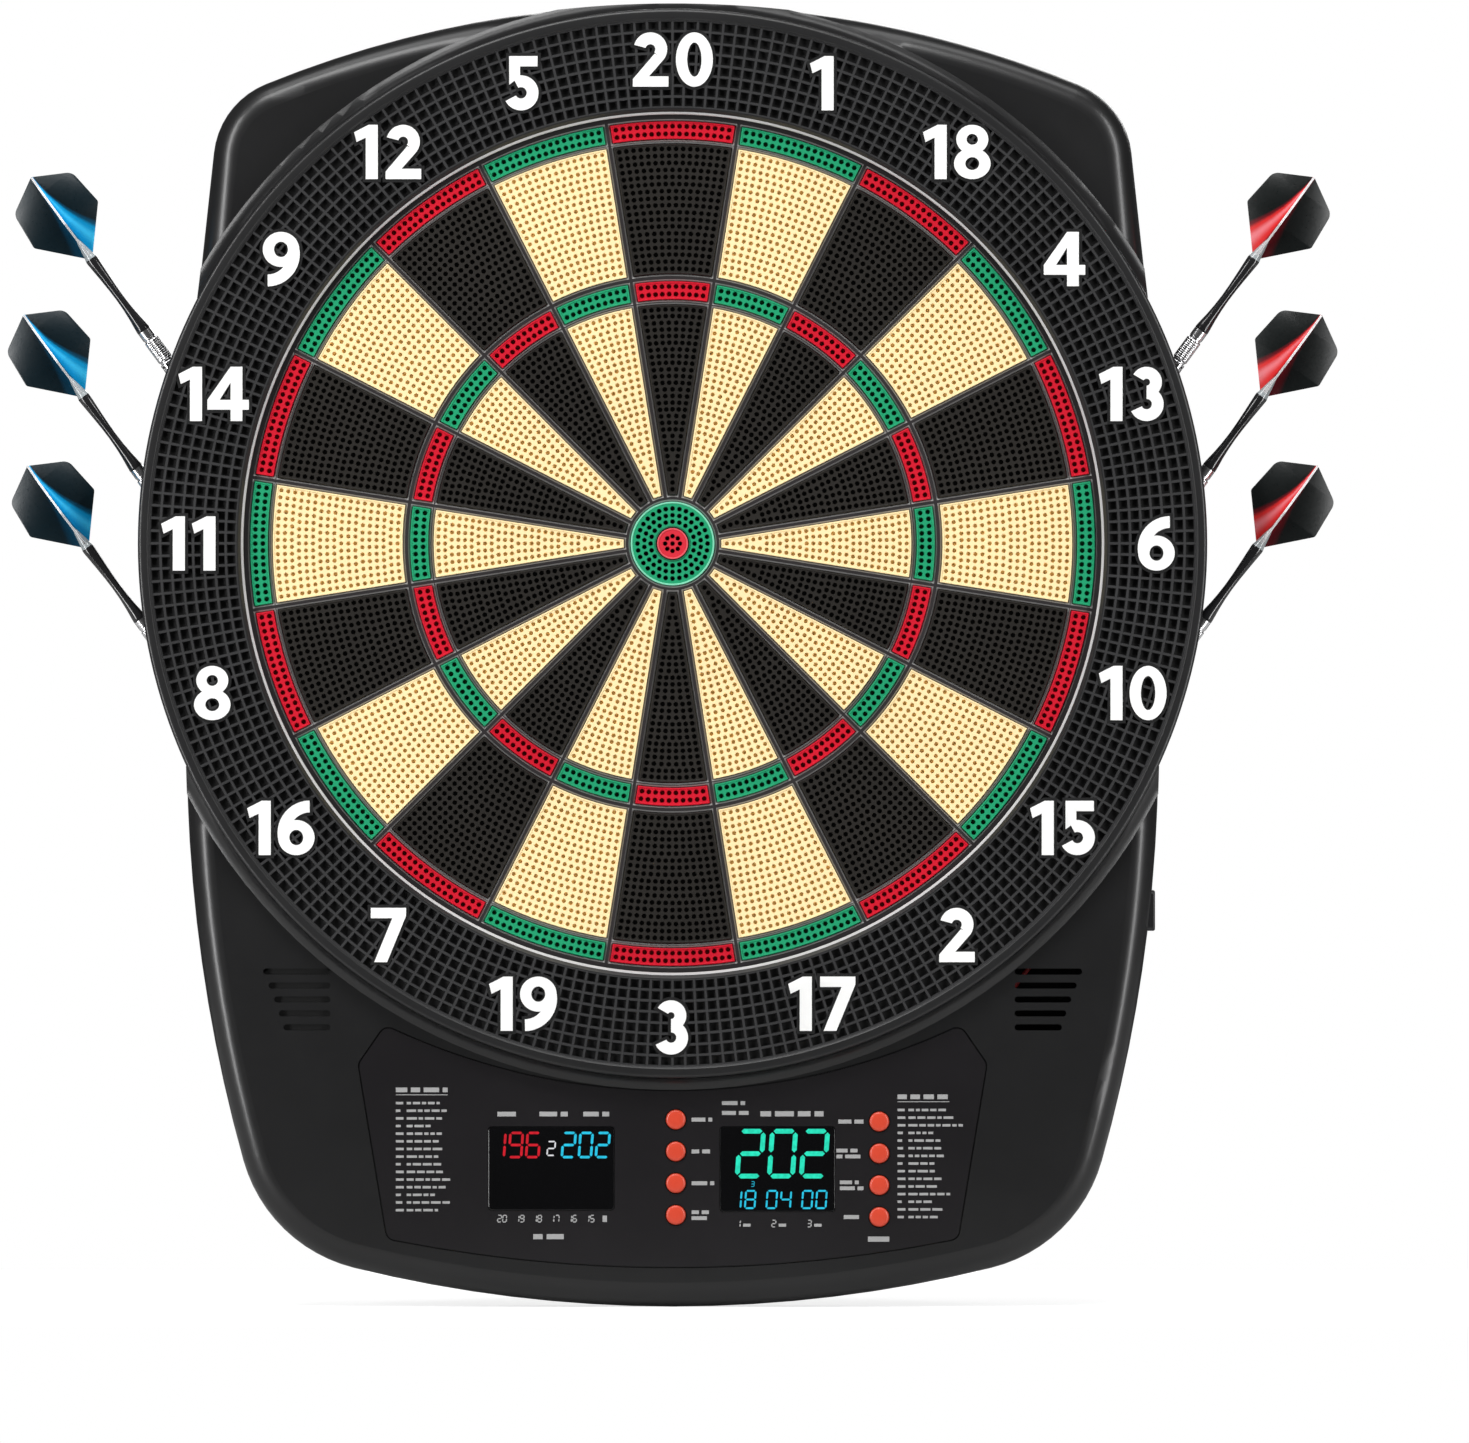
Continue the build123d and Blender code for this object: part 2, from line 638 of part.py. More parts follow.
with BuildPart() as rear_cover:
    with BuildSketch(at_depth(0)):
        add(outer_shape.sketch)
    extrude(amount=COVER_FLOOR)
    fillet(rear_cover.faces().sort_by(Axis.Y)[-1].edges(), COVER_EDGE)
    with BuildSketch(at_depth(COVER_FLOOR)):
        add(case_shape.sketch)
        add(cavity_shape.sketch, mode=Mode.SUBTRACT)
        with Locations(*both_sides(CASE_POINTS)):
            Circle(5)
    extrude(amount=PARTING - COVER_FLOOR)
    with BuildSketch(at_depth(0)):
        with Locations(*both_sides(CASE_POINTS)):
            Circle(3.4)
    extrude(amount=SCREW_SEAT, mode=Mode.SUBTRACT)
    with BuildSketch(at_depth(0)):
        with Locations(*both_sides(CASE_POINTS)):
            Circle(SHANK + 0.4)
        with Locations((-HANGER_X, HANGER_Z), (HANGER_X, HANGER_Z)):
            Circle(HANGER_HEAD)
        with Locations((-HANGER_X, HANGER_Z + HANGER_RISE / 2), (HANGER_X, HANGER_Z + HANGER_RISE / 2)):
            SlotOverall(HANGER_RISE + 2 * HANGER_SLOT, 2 * HANGER_SLOT, rotation=90)
        with Locations(*both_sides(HOLDER_PINS)):
            Circle(HOLDER_PIN + 0.1)
    extrude(amount=PARTING, mode=Mode.SUBTRACT)
save(rear_cover.part, "rear_cover")

# ---- panel faceplate and windows --------------------------------------------
with BuildPart() as panel_faceplate:
    with BuildSketch(at_depth(FACE - PANEL_THICK)):
        add(panel_shape.sketch)
        with BuildSketch(mode=Mode.SUBTRACT):
            window_faces(-0.2)
        with Locations(*KEYS.values()):
            Circle(KEY_RADIUS + 0.35, mode=Mode.SUBTRACT)
    extrude(amount=PANEL_THICK)
save(panel_faceplate.part, "panel_faceplate")

with BuildPart() as display_windows:
    with BuildSketch(at_depth(FACE - PANEL_THICK)):
        window_faces(0)
    extrude(amount=PANEL_THICK)
save(display_windows.part, "display_windows")

# ---- buttons: a cap with a flange that keeps it behind the housing ----------
KEY_FLANGE_REAR = 21.7

for name, centre in KEYS.items():
    with BuildPart() as button:
        with BuildSketch(at_depth(KEY_FLANGE_REAR)):
            with Locations(centre):
                Circle(KEY_RADIUS + 1)
        extrude(amount=FLANGE_THICK)
        with BuildSketch(at_depth(KEY_FLANGE_REAR + FLANGE_THICK)):
            with Locations(centre):
                Circle(KEY_RADIUS)
        extrude(amount=KEY_FRONT - KEY_FLANGE_REAR - FLANGE_THICK)
        fillet(button.faces().sort_by(Axis.Y)[0].edges(), 0.6)
    save(button.part, name)

# ---- electronics ------------------------------------------------------------
with BuildPart() as display_modules:
    with BuildSketch(at_depth(BOARD_FRONT)):
        window_faces(-2)
    extrude(amount=PAD_REAR - BOARD_FRONT - 0.1)
save(display_modules.part, "display_modules")

with BuildPart() as control_board:
    with BuildSketch(at_depth(BOARD_REAR)):
        with Locations(((BOARD[0] + BOARD[2]) / 2, (BOARD[1] + BOARD[3]) / 2)):
            Rectangle(BOARD[2] - BOARD[0], BOARD[3] - BOARD[1])
        with Locations(*BOARD_POINTS):
            Circle(SHANK + 0.3, mode=Mode.SUBTRACT)
    extrude(amount=BOARD_FRONT - BOARD_REAR)
save(control_board.part, "control_board")

with BuildPart() as key_switches:
    with BuildSketch(at_depth(BOARD_FRONT)):
        with Locations(*KEYS.values()):
            Rectangle(6, 6)
    extrude(amount=1.6)
    with BuildSketch(at_depth(BOARD_FRONT + 1.6)):
        with Locations(*KEYS.values()):
            Circle(1.7)
    extrude(amount=0.7)
save(key_switches.part, "key_switches")

# Ribbon connectors on the front of the board; chips and lead plugs on its back.
with BuildPart() as board_components:
    with BuildSketch(at_depth(BOARD_FRONT)):
        with Locations((-TAIL_X, TAIL_END - 2), (TAIL_X, TAIL_END - 2)):
            Rectangle(TAIL_WIDTH + 5, 4)
    extrude(amount=2.6)
    with BuildSketch(at_depth(BOARD_REAR)):
        with Locations((0, -250)):
            Rectangle(14, 14)
        with Locations((40, -262)):
            Rectangle(10, 6)
        with Locations((84, -232), (-66, -236)):
            Rectangle(7, 6)
    extrude(amount=-2.4)
    with BuildSketch(at_depth(BOARD_REAR)):
        with Locations((60, -240), (60, -252), (-40, -262)):
            Circle(3)
    extrude(amount=-6)
save(board_components.part, "board_components")

with BuildPart() as speaker:
    with BuildSketch(at_depth(15)):
        with Locations(SPEAKER):
            Circle(8.5)
    extrude(amount=4)
    with BuildSketch(at_depth(19)) as basket_low:
        with Locations(SPEAKER):
            Circle(9.5)
    with BuildSketch(at_depth(24)) as basket_high:
        with Locations(SPEAKER):
            Circle(16)
    loft()
    with BuildSketch(at_depth(24)):
        with Locations(SPEAKER):
            Circle(SPEAKER_RADIUS)
    extrude(amount=1.5)
save(speaker.part, "speaker")

with BuildPart() as speaker_clamp:
    with BuildSketch(at_depth(18.4)):
        with Locations(SPEAKER):
            with PolarLocations(SPEAKER_RADIUS + 4, 3, start_angle=30):
                Circle(3)
            Circle(SPEAKER_RADIUS + 2.5)
            Circle(SPEAKER_RADIUS - 0.8, mode=Mode.SUBTRACT)
            with PolarLocations(SPEAKER_RADIUS + 4, 3, start_angle=30):
                Circle(SHANK + 0.3, mode=Mode.SUBTRACT)
    extrude(amount=1.6)
    with BuildSketch(at_depth(20)):
        with Locations(SPEAKER):
            Circle(SPEAKER_RADIUS + 0.9)
            Circle(SPEAKER_RADIUS - 0.8, mode=Mode.SUBTRACT)
    extrude(amount=4)
save(speaker_clamp.part, "speaker_clamp")

# Power socket: bezel in the right-hand wall, jack body behind it.
SOCKET_PLANE = Plane(origin=(0, -SOCKET_DEPTH, SOCKET_Z), x_dir=(0, 1, 0), z_dir=(1, 0, 0))

with BuildPart() as socket_bezel:
    with BuildSketch(SOCKET_PLANE.offset(188.4)):
        RectangleRounded(BEZEL_WIDTH, BEZEL_HEIGHT, 2)
    extrude(amount=BEZEL_FRONT - 188.4)
    fillet(socket_bezel.faces().sort_by(Axis.X)[-1].edges(), 0.8)
    with BuildSketch(SOCKET_PLANE.offset(186.8)):
        Rectangle(BEZEL_WIDTH + 2, BEZEL_HEIGHT + 3)
    extrude(amount=1.6)
    with BuildSketch(SOCKET_PLANE.offset(186.8)):
        Circle(4)
    extrude(amount=12, mode=Mode.SUBTRACT)
save(socket_bezel.part, "socket_bezel")

with BuildPart() as power_socket:
    with BuildSketch(SOCKET_PLANE.offset(177)):
        Rectangle(9, 11)
    extrude(amount=9.6)
    with BuildSketch(SOCKET_PLANE.offset(186.6)):
        Circle(3.8)
    extrude(amount=8)
    with BuildSketch(SOCKET_PLANE.offset(183)):
        Circle(JACK_BORE)
        Circle(1.0, mode=Mode.SUBTRACT)
    extrude(amount=12, mode=Mode.SUBTRACT)
save(power_socket.part, "power_socket")


# ---- screws -----------------------------------------------------------------
def screws(name, groups, head_radius, head_height):
    """Pan-head screws driven from behind: each group has a head depth, length, points."""
    with BuildPart() as set_of_screws:
        for head_depth, length, points in groups:
            with BuildSketch(at_depth(head_depth - head_height)):
                with Locations(*points):
                    Circle(head_radius)
            extrude(amount=head_height)
            with BuildSketch(at_depth(head_depth)):
                with Locations(*points):
                    Circle(SHANK)
            extrude(amount=length)
    save(set_of_screws.part, name)


def on_circle(radius, angles, centre=(0, 0)):
    """Points on a circle at the given angles."""
    return [
        (centre[0] + radius * cos(radians(angle)), centre[1] + radius * sin(radians(angle)))
        for angle in angles
    ]


screws("case_screws", [(SCREW_SEAT, 15, both_sides(CASE_POINTS))], 3.0, 2.0)
screws(
    "inner_screws",
    [
        (BACKING_PLATE, 6, on_circle(LUG_RADIUS, LUG_ANGLES)),
        (FACE - WALL, 6, on_circle(RING_SCREW_RADIUS, RING_SCREW_ANGLES)),
        (BOARD_REAR, 6, BOARD_POINTS),
        (18.4, 6, on_circle(SPEAKER_RADIUS + 4, (30, 150, 270), SPEAKER)),
    ],
    2.6,
    1.8,
)


# ---- leads inside the case --------------------------------------------------
def lead(*points):
    """A round lead along straight runs joined by tangent arcs."""
    with BuildLine() as route:
        FilletPolyline(*points, radius=8)
    with BuildSketch(Plane(origin=route.line @ 0, z_dir=route.line % 0)) as section:
        Circle(1.1)
    sweep(section.sketch, path=route.line)


with BuildPart() as internal_leads:
    lead((176.8, -13.5, -149), (160, -13.5, -152), (126, -12.5, -196), (92, -13, -224), (84, -13, -228.9))
    lead((-152, -13, -194.5), (-148, -13, -208), (-110, -12.5, -222), (-69.6, -13, -236))
save(internal_leads.part, "internal_leads")


# ---- dart holders and darts -------------------------------------------------
def dart_plane(side, tail):
    """A plane at a dart's tail, its normal pointing down the dart to the tip."""
    slope = radians(DART_ANGLE)
    return Plane(
        origin=(side * tail[0], -DART_DEPTH, tail[1]),
        x_dir=(-sin(slope), 0, side * cos(slope)),
        z_dir=(-side * cos(slope), 0, -sin(slope)),
    )


BOSS_START = BARREL_END + 0.3
BOSS_END = 132.0


def make_holder(side, name):
    """A base strip on the rear cover with three sloping sockets."""
    with BuildPart() as holder:
        with BuildSketch(at_depth(COVER_FLOOR + 0.05)):
            with Locations((side * 183, -2)):
                Rectangle(22, 164)
            Circle(ALCOVE_RADIUS + 0.4, mode=Mode.SUBTRACT)
        extrude(amount=HOLDER_BASE - COVER_FLOOR)
        for tail in DART_TAILS.values():
            plane = dart_plane(side, tail)
            with BuildSketch(plane.offset(BOSS_START)):
                Circle(BOSS_RADIUS)
                with Locations((0, (DART_DEPTH - HOLDER_BASE) / 2)):
                    Rectangle(2 * BOSS_RADIUS, DART_DEPTH - HOLDER_BASE)
            extrude(amount=BOSS_END - BOSS_START)
        with BuildSketch(at_depth(HOLDER_PIN_END)):
            with Locations(*[(side * x, z) for x, z in HOLDER_PINS]):
                Circle(HOLDER_PIN)
        extrude(amount=HOLDER_BASE - HOLDER_PIN_END)
        for tail in DART_TAILS.values():
            plane = dart_plane(side, tail)
            with BuildSketch(plane.offset(BOSS_START)):
                Circle(SOCKET_BORE)
            extrude(amount=BOSS_END - BOSS_START + 6, mode=Mode.SUBTRACT)
    save(holder.part, name)


def make_dart(side, tail, name):
    """A soft-tip dart: flight, shaft, barrel and tip, each a separate solid."""
    plane = dart_plane(side, tail)
    fin = 0.25
    with BuildPart(plane) as flight:
        for across in (plane.x_dir, plane.y_dir):
            with BuildSketch(Plane(plane.origin, x_dir=across, z_dir=across.cross(plane.z_dir))):
                with BuildLine():
                    Polyline(
                        (0, 0),
                        (14.6, 8.2),
                        (16.2, 24.0),
                        (1.2, FLIGHT_LENGTH),
                        (-1.2, FLIGHT_LENGTH),
                        (-16.2, 24.0),
                        (-14.6, 8.2),
                        close=True,
                    )
                make_face()
            extrude(amount=fin, both=True)
    with BuildPart(plane) as shaft:
        with Locations((0, 0, FLIGHT_LENGTH)):
            Cone(2.9, 2.0, (SHAFT_END - FLIGHT_LENGTH) / 2, align=(Align.CENTER, Align.CENTER, Align.MIN))
        with Locations((0, 0, (FLIGHT_LENGTH + SHAFT_END) / 2)):
            Cone(2.0, 3.0, (SHAFT_END - FLIGHT_LENGTH) / 2, align=(Align.CENTER, Align.CENTER, Align.MIN))
    with BuildPart(plane) as barrel:
        with Locations((0, 0, SHAFT_END)):
            Cylinder(BARREL_RADIUS, BARREL_END - SHAFT_END, align=(Align.CENTER, Align.CENTER, Align.MIN))
    with BuildPart(plane) as tip:
        with Locations((0, 0, BARREL_END)):
            Cone(TIP_RADIUS, 0.8, TIP_END - BARREL_END, align=(Align.CENTER, Align.CENTER, Align.MIN))
    save(Compound(children=[flight.part, shaft.part, barrel.part, tip.part]), name)


for side, word in ((-1, "left"), (1, "right")):
    make_holder(side, f"dart_holder_{word}")
    for place, tail in DART_TAILS.items():
        make_dart(side, tail, f"dart_{word}_{place}")
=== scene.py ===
import json
import math
import random

import bmesh
import bpy
from mathutils import Matrix, Vector
from mathutils.geometry import delaunay_2d_cdt

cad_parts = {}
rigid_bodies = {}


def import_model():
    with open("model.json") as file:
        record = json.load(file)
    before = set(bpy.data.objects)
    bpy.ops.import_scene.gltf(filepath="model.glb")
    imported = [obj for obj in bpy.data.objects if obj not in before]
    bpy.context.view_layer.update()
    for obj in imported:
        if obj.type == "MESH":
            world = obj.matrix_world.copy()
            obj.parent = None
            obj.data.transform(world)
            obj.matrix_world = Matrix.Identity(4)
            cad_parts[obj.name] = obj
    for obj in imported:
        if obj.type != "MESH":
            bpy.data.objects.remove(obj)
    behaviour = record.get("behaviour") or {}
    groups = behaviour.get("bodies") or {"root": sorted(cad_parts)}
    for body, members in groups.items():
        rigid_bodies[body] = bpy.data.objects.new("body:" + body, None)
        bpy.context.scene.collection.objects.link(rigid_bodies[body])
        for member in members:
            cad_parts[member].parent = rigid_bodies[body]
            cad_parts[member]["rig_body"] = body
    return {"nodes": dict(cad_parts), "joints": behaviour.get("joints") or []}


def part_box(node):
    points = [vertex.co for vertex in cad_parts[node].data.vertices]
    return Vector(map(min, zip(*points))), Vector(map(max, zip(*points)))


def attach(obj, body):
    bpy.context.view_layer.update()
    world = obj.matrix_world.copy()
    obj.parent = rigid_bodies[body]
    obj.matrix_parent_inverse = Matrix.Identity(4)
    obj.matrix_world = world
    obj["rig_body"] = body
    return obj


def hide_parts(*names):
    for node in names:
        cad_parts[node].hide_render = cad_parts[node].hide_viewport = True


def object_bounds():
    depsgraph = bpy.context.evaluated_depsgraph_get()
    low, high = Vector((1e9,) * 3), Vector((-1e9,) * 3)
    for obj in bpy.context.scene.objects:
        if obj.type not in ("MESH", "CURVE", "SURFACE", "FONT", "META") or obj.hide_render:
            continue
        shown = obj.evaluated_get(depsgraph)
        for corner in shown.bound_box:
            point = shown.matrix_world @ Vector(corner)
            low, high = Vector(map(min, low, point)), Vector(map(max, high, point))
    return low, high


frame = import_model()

cad_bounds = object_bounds()
random.seed(7)
MM = 0.001
TAU = 2 * math.pi

# ---- sizes, in millimetres; depth is the distance from the wall -------------
WEDGES = 20
NUMBERS = [20, 1, 18, 4, 13, 6, 10, 15, 2, 17, 3, 19, 7, 16, 8, 11, 14, 9, 12, 5]
BANDS = {
    "double": (164.0, 171.2),
    "outer_single": (109.4, 162.0),
    "triple": (99.0, 106.3),
    "inner_single": (19.8, 96.8),
}
HALF_RIB = 1.5
POCKET_GAP = 0.3
SEGMENT_BACK = -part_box("wedge_20")[1].y / MM
SEGMENT_FRONT = -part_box("wedge_20")[0].y / MM
SPIDER_BACK = -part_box("spider")[1].y / MM
SPIDER_FRONT = -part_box("spider")[0].y / MM
SPIDER_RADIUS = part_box("spider")[1].x / MM
RING_FRONT = -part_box("catch_ring")[0].y / MM
RING_BACK = -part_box("catch_ring")[1].y / MM
RING_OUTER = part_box("catch_ring")[1].x / MM
NUMERAL_BACK = -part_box("numerals")[1].y / MM
FACE = -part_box("panel_faceplate")[0].y / MM
GRID_DEPTH = 35.8
GRID_INNER = 176.6
GRID_OUTER = 211.9
GRID_ROWS = 8
GRID_COLUMNS = 256
HOLE_PITCH = 2.83
CLOSEST_HOLES = 2.42
HOLE_MARGIN = 2.0
FIELD_SINK = 0.30
KEY_RADIUS = 4.0


# ---- materials --------------------------------------------------------------
class Nodes:
    """A short way to write a material's node tree."""

    def __init__(self, name):
        self.material = bpy.data.materials.new(name)
        self.material.use_nodes = True
        self.tree = self.material.node_tree
        self.shader = self.tree.nodes["Principled BSDF"]

    def add(self, kind, **inputs):
        node = self.tree.nodes.new(kind)
        for key, value in inputs.items():
            self.feed(node, key.replace("_", " "), value)
        return node

    def feed(self, node, socket, value):
        if isinstance(value, bpy.types.NodeSocket):
            self.tree.links.new(value, node.inputs[socket])
        else:
            node.inputs[socket].default_value = value

    def math(self, operation, first, second=0.0, clamp=False):
        node = self.tree.nodes.new("ShaderNodeMath")
        node.operation = operation
        node.use_clamp = clamp
        for index, value in enumerate((first, second)):
            if isinstance(value, bpy.types.NodeSocket):
                self.tree.links.new(value, node.inputs[index])
            else:
                node.inputs[index].default_value = value
        return node.outputs[0]

    def place(self):
        return self.tree.nodes.new("ShaderNodeTexCoord").outputs["Object"]

    def noise(self, scale, detail=3.0, vector=None):
        node = self.add("ShaderNodeTexNoise", Scale=scale, Detail=detail)
        self.feed(node, "Vector", vector or self.place())
        return node.outputs["Fac"]

    def ramp(self, factor, stops):
        node = self.tree.nodes.new("ShaderNodeValToRGB")
        node.color_ramp.interpolation = "EASE"
        while len(node.color_ramp.elements) < len(stops):
            node.color_ramp.elements.new(0.5)
        for element, (position, colour) in zip(node.color_ramp.elements, stops):
            element.position = position
            element.color = (*colour, 1.0)
        self.tree.links.new(factor, node.inputs["Fac"])
        return node.outputs["Color"]

    def spread(self, factor, low, high):
        node = self.tree.nodes.new("ShaderNodeMapRange")
        node.inputs["To Min"].default_value = low
        node.inputs["To Max"].default_value = high
        self.tree.links.new(factor, node.inputs["Value"])
        return node.outputs["Result"]

    def bump(self, height, strength, distance):
        node = self.add("ShaderNodeBump", Strength=strength, Distance=distance)
        self.tree.links.new(height, node.inputs["Height"])
        self.tree.links.new(node.outputs["Normal"], self.shader.inputs["Normal"])


def shade(colour, amount):
    """A lighter or darker version of a colour."""
    return tuple(min(1.0, channel * amount) for channel in colour)


def plastic(name, colour, roughness, grain=1800.0, depth=0.02, mottle=0.10, coat=0.0, speckle=0.04):
    """Moulded plastic: a fine spark grain, slow colour drift, uneven gloss, faint handling marks."""
    tree = Nodes(name)
    drift = tree.noise(22.0, 4.0)
    fine = tree.noise(grain, 2.0)
    marks = tree.noise(150.0, 6.0)
    blend = tree.math("ADD", tree.math("MULTIPLY", drift, 0.7), tree.math("MULTIPLY", fine, 0.3))
    colours = tree.ramp(blend, [(0.3, shade(colour, 1 - mottle)), (0.7, shade(colour, 1 + mottle))])
    tree.feed(tree.shader, "Base Color", colours)
    uneven = tree.math("ADD", tree.math("MULTIPLY", marks, 0.6), tree.math("MULTIPLY", drift, 0.4))
    gloss = tree.spread(uneven, roughness - speckle, roughness + speckle)
    tree.feed(tree.shader, "Roughness", gloss)
    tree.shader.inputs["Coat Weight"].default_value = coat
    tree.shader.inputs["Coat Roughness"].default_value = 0.12
    tree.bump(fine, 0.35, depth * MM)
    return tree.material


def metal(name, colour, roughness, stretch=(900.0, 900.0, 60.0)):
    """Turned or plated metal, with fine tool lines along the axis that stretch shortens."""
    tree = Nodes(name)
    mapping = tree.tree.nodes.new("ShaderNodeMapping")
    mapping.inputs["Scale"].default_value = stretch
    tree.tree.links.new(tree.place(), mapping.inputs["Vector"])
    lines = tree.noise(1.0, 5.0, mapping.outputs["Vector"])
    tarnish = tree.noise(90.0, 4.0)
    colours = tree.ramp(tarnish, [(0.3, shade(colour, 0.86)), (0.65, colour)])
    tree.feed(tree.shader, "Base Color", colours)
    tree.shader.inputs["Metallic"].default_value = 1.0
    tree.feed(tree.shader, "Roughness", tree.spread(lines, roughness - 0.08, roughness + 0.08))
    tree.bump(lines, 0.25, 0.01 * MM)
    return tree.material


def painted_hole_wall(name, mouth, deep, floor_depth):
    """Inside a hole: painted shade, from the mouth colour to a darker colour further in; on the black
    segments the mouth colour is lighter than the plastic, a painted highlight.
    """
    tree = Nodes(name)
    split = tree.tree.nodes.new("ShaderNodeSeparateXYZ")
    tree.tree.links.new(tree.place(), split.inputs["Vector"])
    depth = tree.math("MULTIPLY", split.outputs["Y"], -1.0 / MM)
    inward = tree.math("SUBTRACT", SEGMENT_FRONT, depth)
    grainy = tree.math("ADD", inward, tree.spread(tree.noise(500.0), -0.15, 0.15))
    factor = tree.math("DIVIDE", grainy, floor_depth, clamp=True)
    tree.feed(tree.shader, "Base Color", tree.ramp(factor, [(0.0, mouth), (1.0, deep)]))
    tree.shader.inputs["Roughness"].default_value = 0.45
    return tree.material


def glow(name, colour, strength):
    """A lit display segment, slightly uneven in brightness, over a near-black body."""
    tree = Nodes(name)
    cells = tree.noise(700.0, 2.0)
    colours = tree.ramp(cells, [(0.25, shade(colour, 0.82)), (0.75, shade(colour, 1.1))])
    body = tree.ramp(cells, [(0.25, shade(colour, 0.06)), (0.75, shade(colour, 0.1))])
    tree.feed(tree.shader, "Base Color", body)
    tree.feed(tree.shader, "Emission Color", colours)
    tree.shader.inputs["Emission Strength"].default_value = strength
    tree.shader.inputs["Roughness"].default_value = 0.3
    return tree.material


def flight_film(name, glowing, bright, tint, dark):
    """Printed flight film: near black, with a curved streak that widens towards the shaft."""
    tree = Nodes(name)
    chart = tree.tree.nodes.new("ShaderNodeUVMap")
    chart.uv_map = "film"
    split = tree.tree.nodes.new("ShaderNodeSeparateXYZ")
    tree.tree.links.new(chart.outputs["UV"], split.inputs["Vector"])
    across = tree.math("MULTIPLY", tree.math("SUBTRACT", split.outputs["X"], 0.5), 40.0)
    along = tree.math("MULTIPLY", split.outputs["Y"], 40.0)
    squared = tree.math("MULTIPLY", along, along)
    width = tree.math("ADD", tree.math("MULTIPLY", squared, 0.0116), 1.2)
    warp = tree.spread(tree.noise(90.0, 2.0), -0.5, 0.5)
    wavy = tree.math("ADD", across, warp)
    near = tree.math("DIVIDE", wavy, width, clamp=True)
    far = tree.math("DIVIDE", tree.math("MULTIPLY", wavy, -2.6), width, clamp=True)
    stops = [(0.0, tint), (0.14, bright), (0.40, glowing), (0.62, bright), (0.82, tint), (1.0, dark)]
    streak = tree.ramp(near, stops)
    echo = tree.ramp(far, [(0.0, tint), (0.45, shade(tint, 0.55)), (1.0, dark)])
    mix = tree.tree.nodes.new("ShaderNodeMix")
    mix.data_type = "RGBA"
    tree.tree.links.new(tree.math("GREATER_THAN", across, 0.0), mix.inputs["Factor"])
    tree.tree.links.new(echo, mix.inputs["A"])
    tree.tree.links.new(streak, mix.inputs["B"])
    tree.feed(tree.shader, "Base Color", mix.outputs["Result"])
    fine = tree.noise(1300.0, 2.0)
    tree.feed(tree.shader, "Roughness", tree.spread(fine, 0.24, 0.36))
    tree.bump(fine, 0.15, 0.01 * MM)
    return tree.material


CREAM = (0.93, 0.73, 0.40)
RED = (0.56, 0.006, 0.022)
GREEN = (0.012, 0.30, 0.135)
segment_black = plastic("segment_black", (0.017, 0.015, 0.013), 0.36, 1200.0, 0.02)
segment_cream = plastic("segment_cream", CREAM, 0.40, 1200.0, 0.02, 0.03)
segment_red = plastic("segment_red", RED, 0.36, 1200.0, 0.02, 0.06)
segment_green = plastic("segment_green", GREEN, 0.36, 1200.0, 0.02, 0.06)
bull_red = plastic("bull_red", (0.60, 0.022, 0.040), 0.36, 1200.0, 0.02, 0.06)
# Lighter copies of the segment plastics for the raised borders: a painted highlight along the rims.
highlight_borders_of = {
    segment_black: plastic("border_black_painted_highlight", (0.060, 0.057, 0.055), 0.34, 1200.0, 0.02),
    segment_cream: plastic("border_cream_painted_highlight", (0.95, 0.80, 0.52), 0.36, 1200.0, 0.02, 0.03),
    segment_red: plastic("border_red_painted_highlight", (0.74, 0.22, 0.24), 0.34, 1200.0, 0.02, 0.06),
    segment_green: plastic("border_green_painted_highlight", (0.20, 0.62, 0.42), 0.34, 1200.0, 0.02, 0.06),
    bull_red: plastic("border_bull_painted_highlight", (0.70, 0.10, 0.12), 0.34, 1200.0, 0.02, 0.06),
}
# Hole walls: painted shade that deepens inwards; the black holes' pale mouth is a painted highlight.
painted_walls_of = {
    segment_black: painted_hole_wall("hole_black_painted_highlight_and_shade", (0.05, 0.045, 0.04), (0.004, 0.004, 0.004), 3.0),
    segment_cream: painted_hole_wall("hole_cream_painted_shade", (0.58, 0.27, 0.06), (0.30, 0.085, 0.006), 1.8),
    segment_red: painted_hole_wall("hole_red_painted_shade", (0.30, 0.004, 0.01), (0.012, 0.001, 0.001), 2.0),
    segment_green: painted_hole_wall("hole_green_painted_shade", (0.006, 0.13, 0.06), (0.001, 0.007, 0.004), 2.0),
    bull_red: painted_hole_wall("hole_bull_painted_shade", (0.40, 0.008, 0.02), (0.02, 0.001, 0.001), 2.0),
}
# Near-black and warm brown bottoms: painted shade at the bottom of the holes and of the barrel's drilled
# dots.
painted_bottom_shade = plastic("hole_bottom_painted_shade", (0.010, 0.007, 0.005), 0.7, 900.0, 0.02)
painted_warm_bottom_shade = plastic("warm_hole_bottom_painted_shade", (0.34, 0.10, 0.010), 0.6, 900.0, 0.02)
housing_plastic = plastic("housing_plastic", (0.0098, 0.0098, 0.0102), 0.33, 2600.0, 0.012, 0.12, 0.12)
cover_plastic = plastic("cover_plastic", (0.022, 0.022, 0.023), 0.55, 1100.0, 0.09)
ring_plastic = plastic("ring_plastic", (0.032, 0.032, 0.033), 0.38, 2200.0, 0.012)
rim_plastic = plastic("rim_plastic", (0.014, 0.014, 0.0145), 0.34, 2400.0, 0.012)
# Near black for the deep cell walls and floors of the catch ring: painted shade in the pits.
pit_painted_shade = plastic("pit_painted_shade", (0.002, 0.002, 0.0022), 0.6, 2200.0, 0.02)
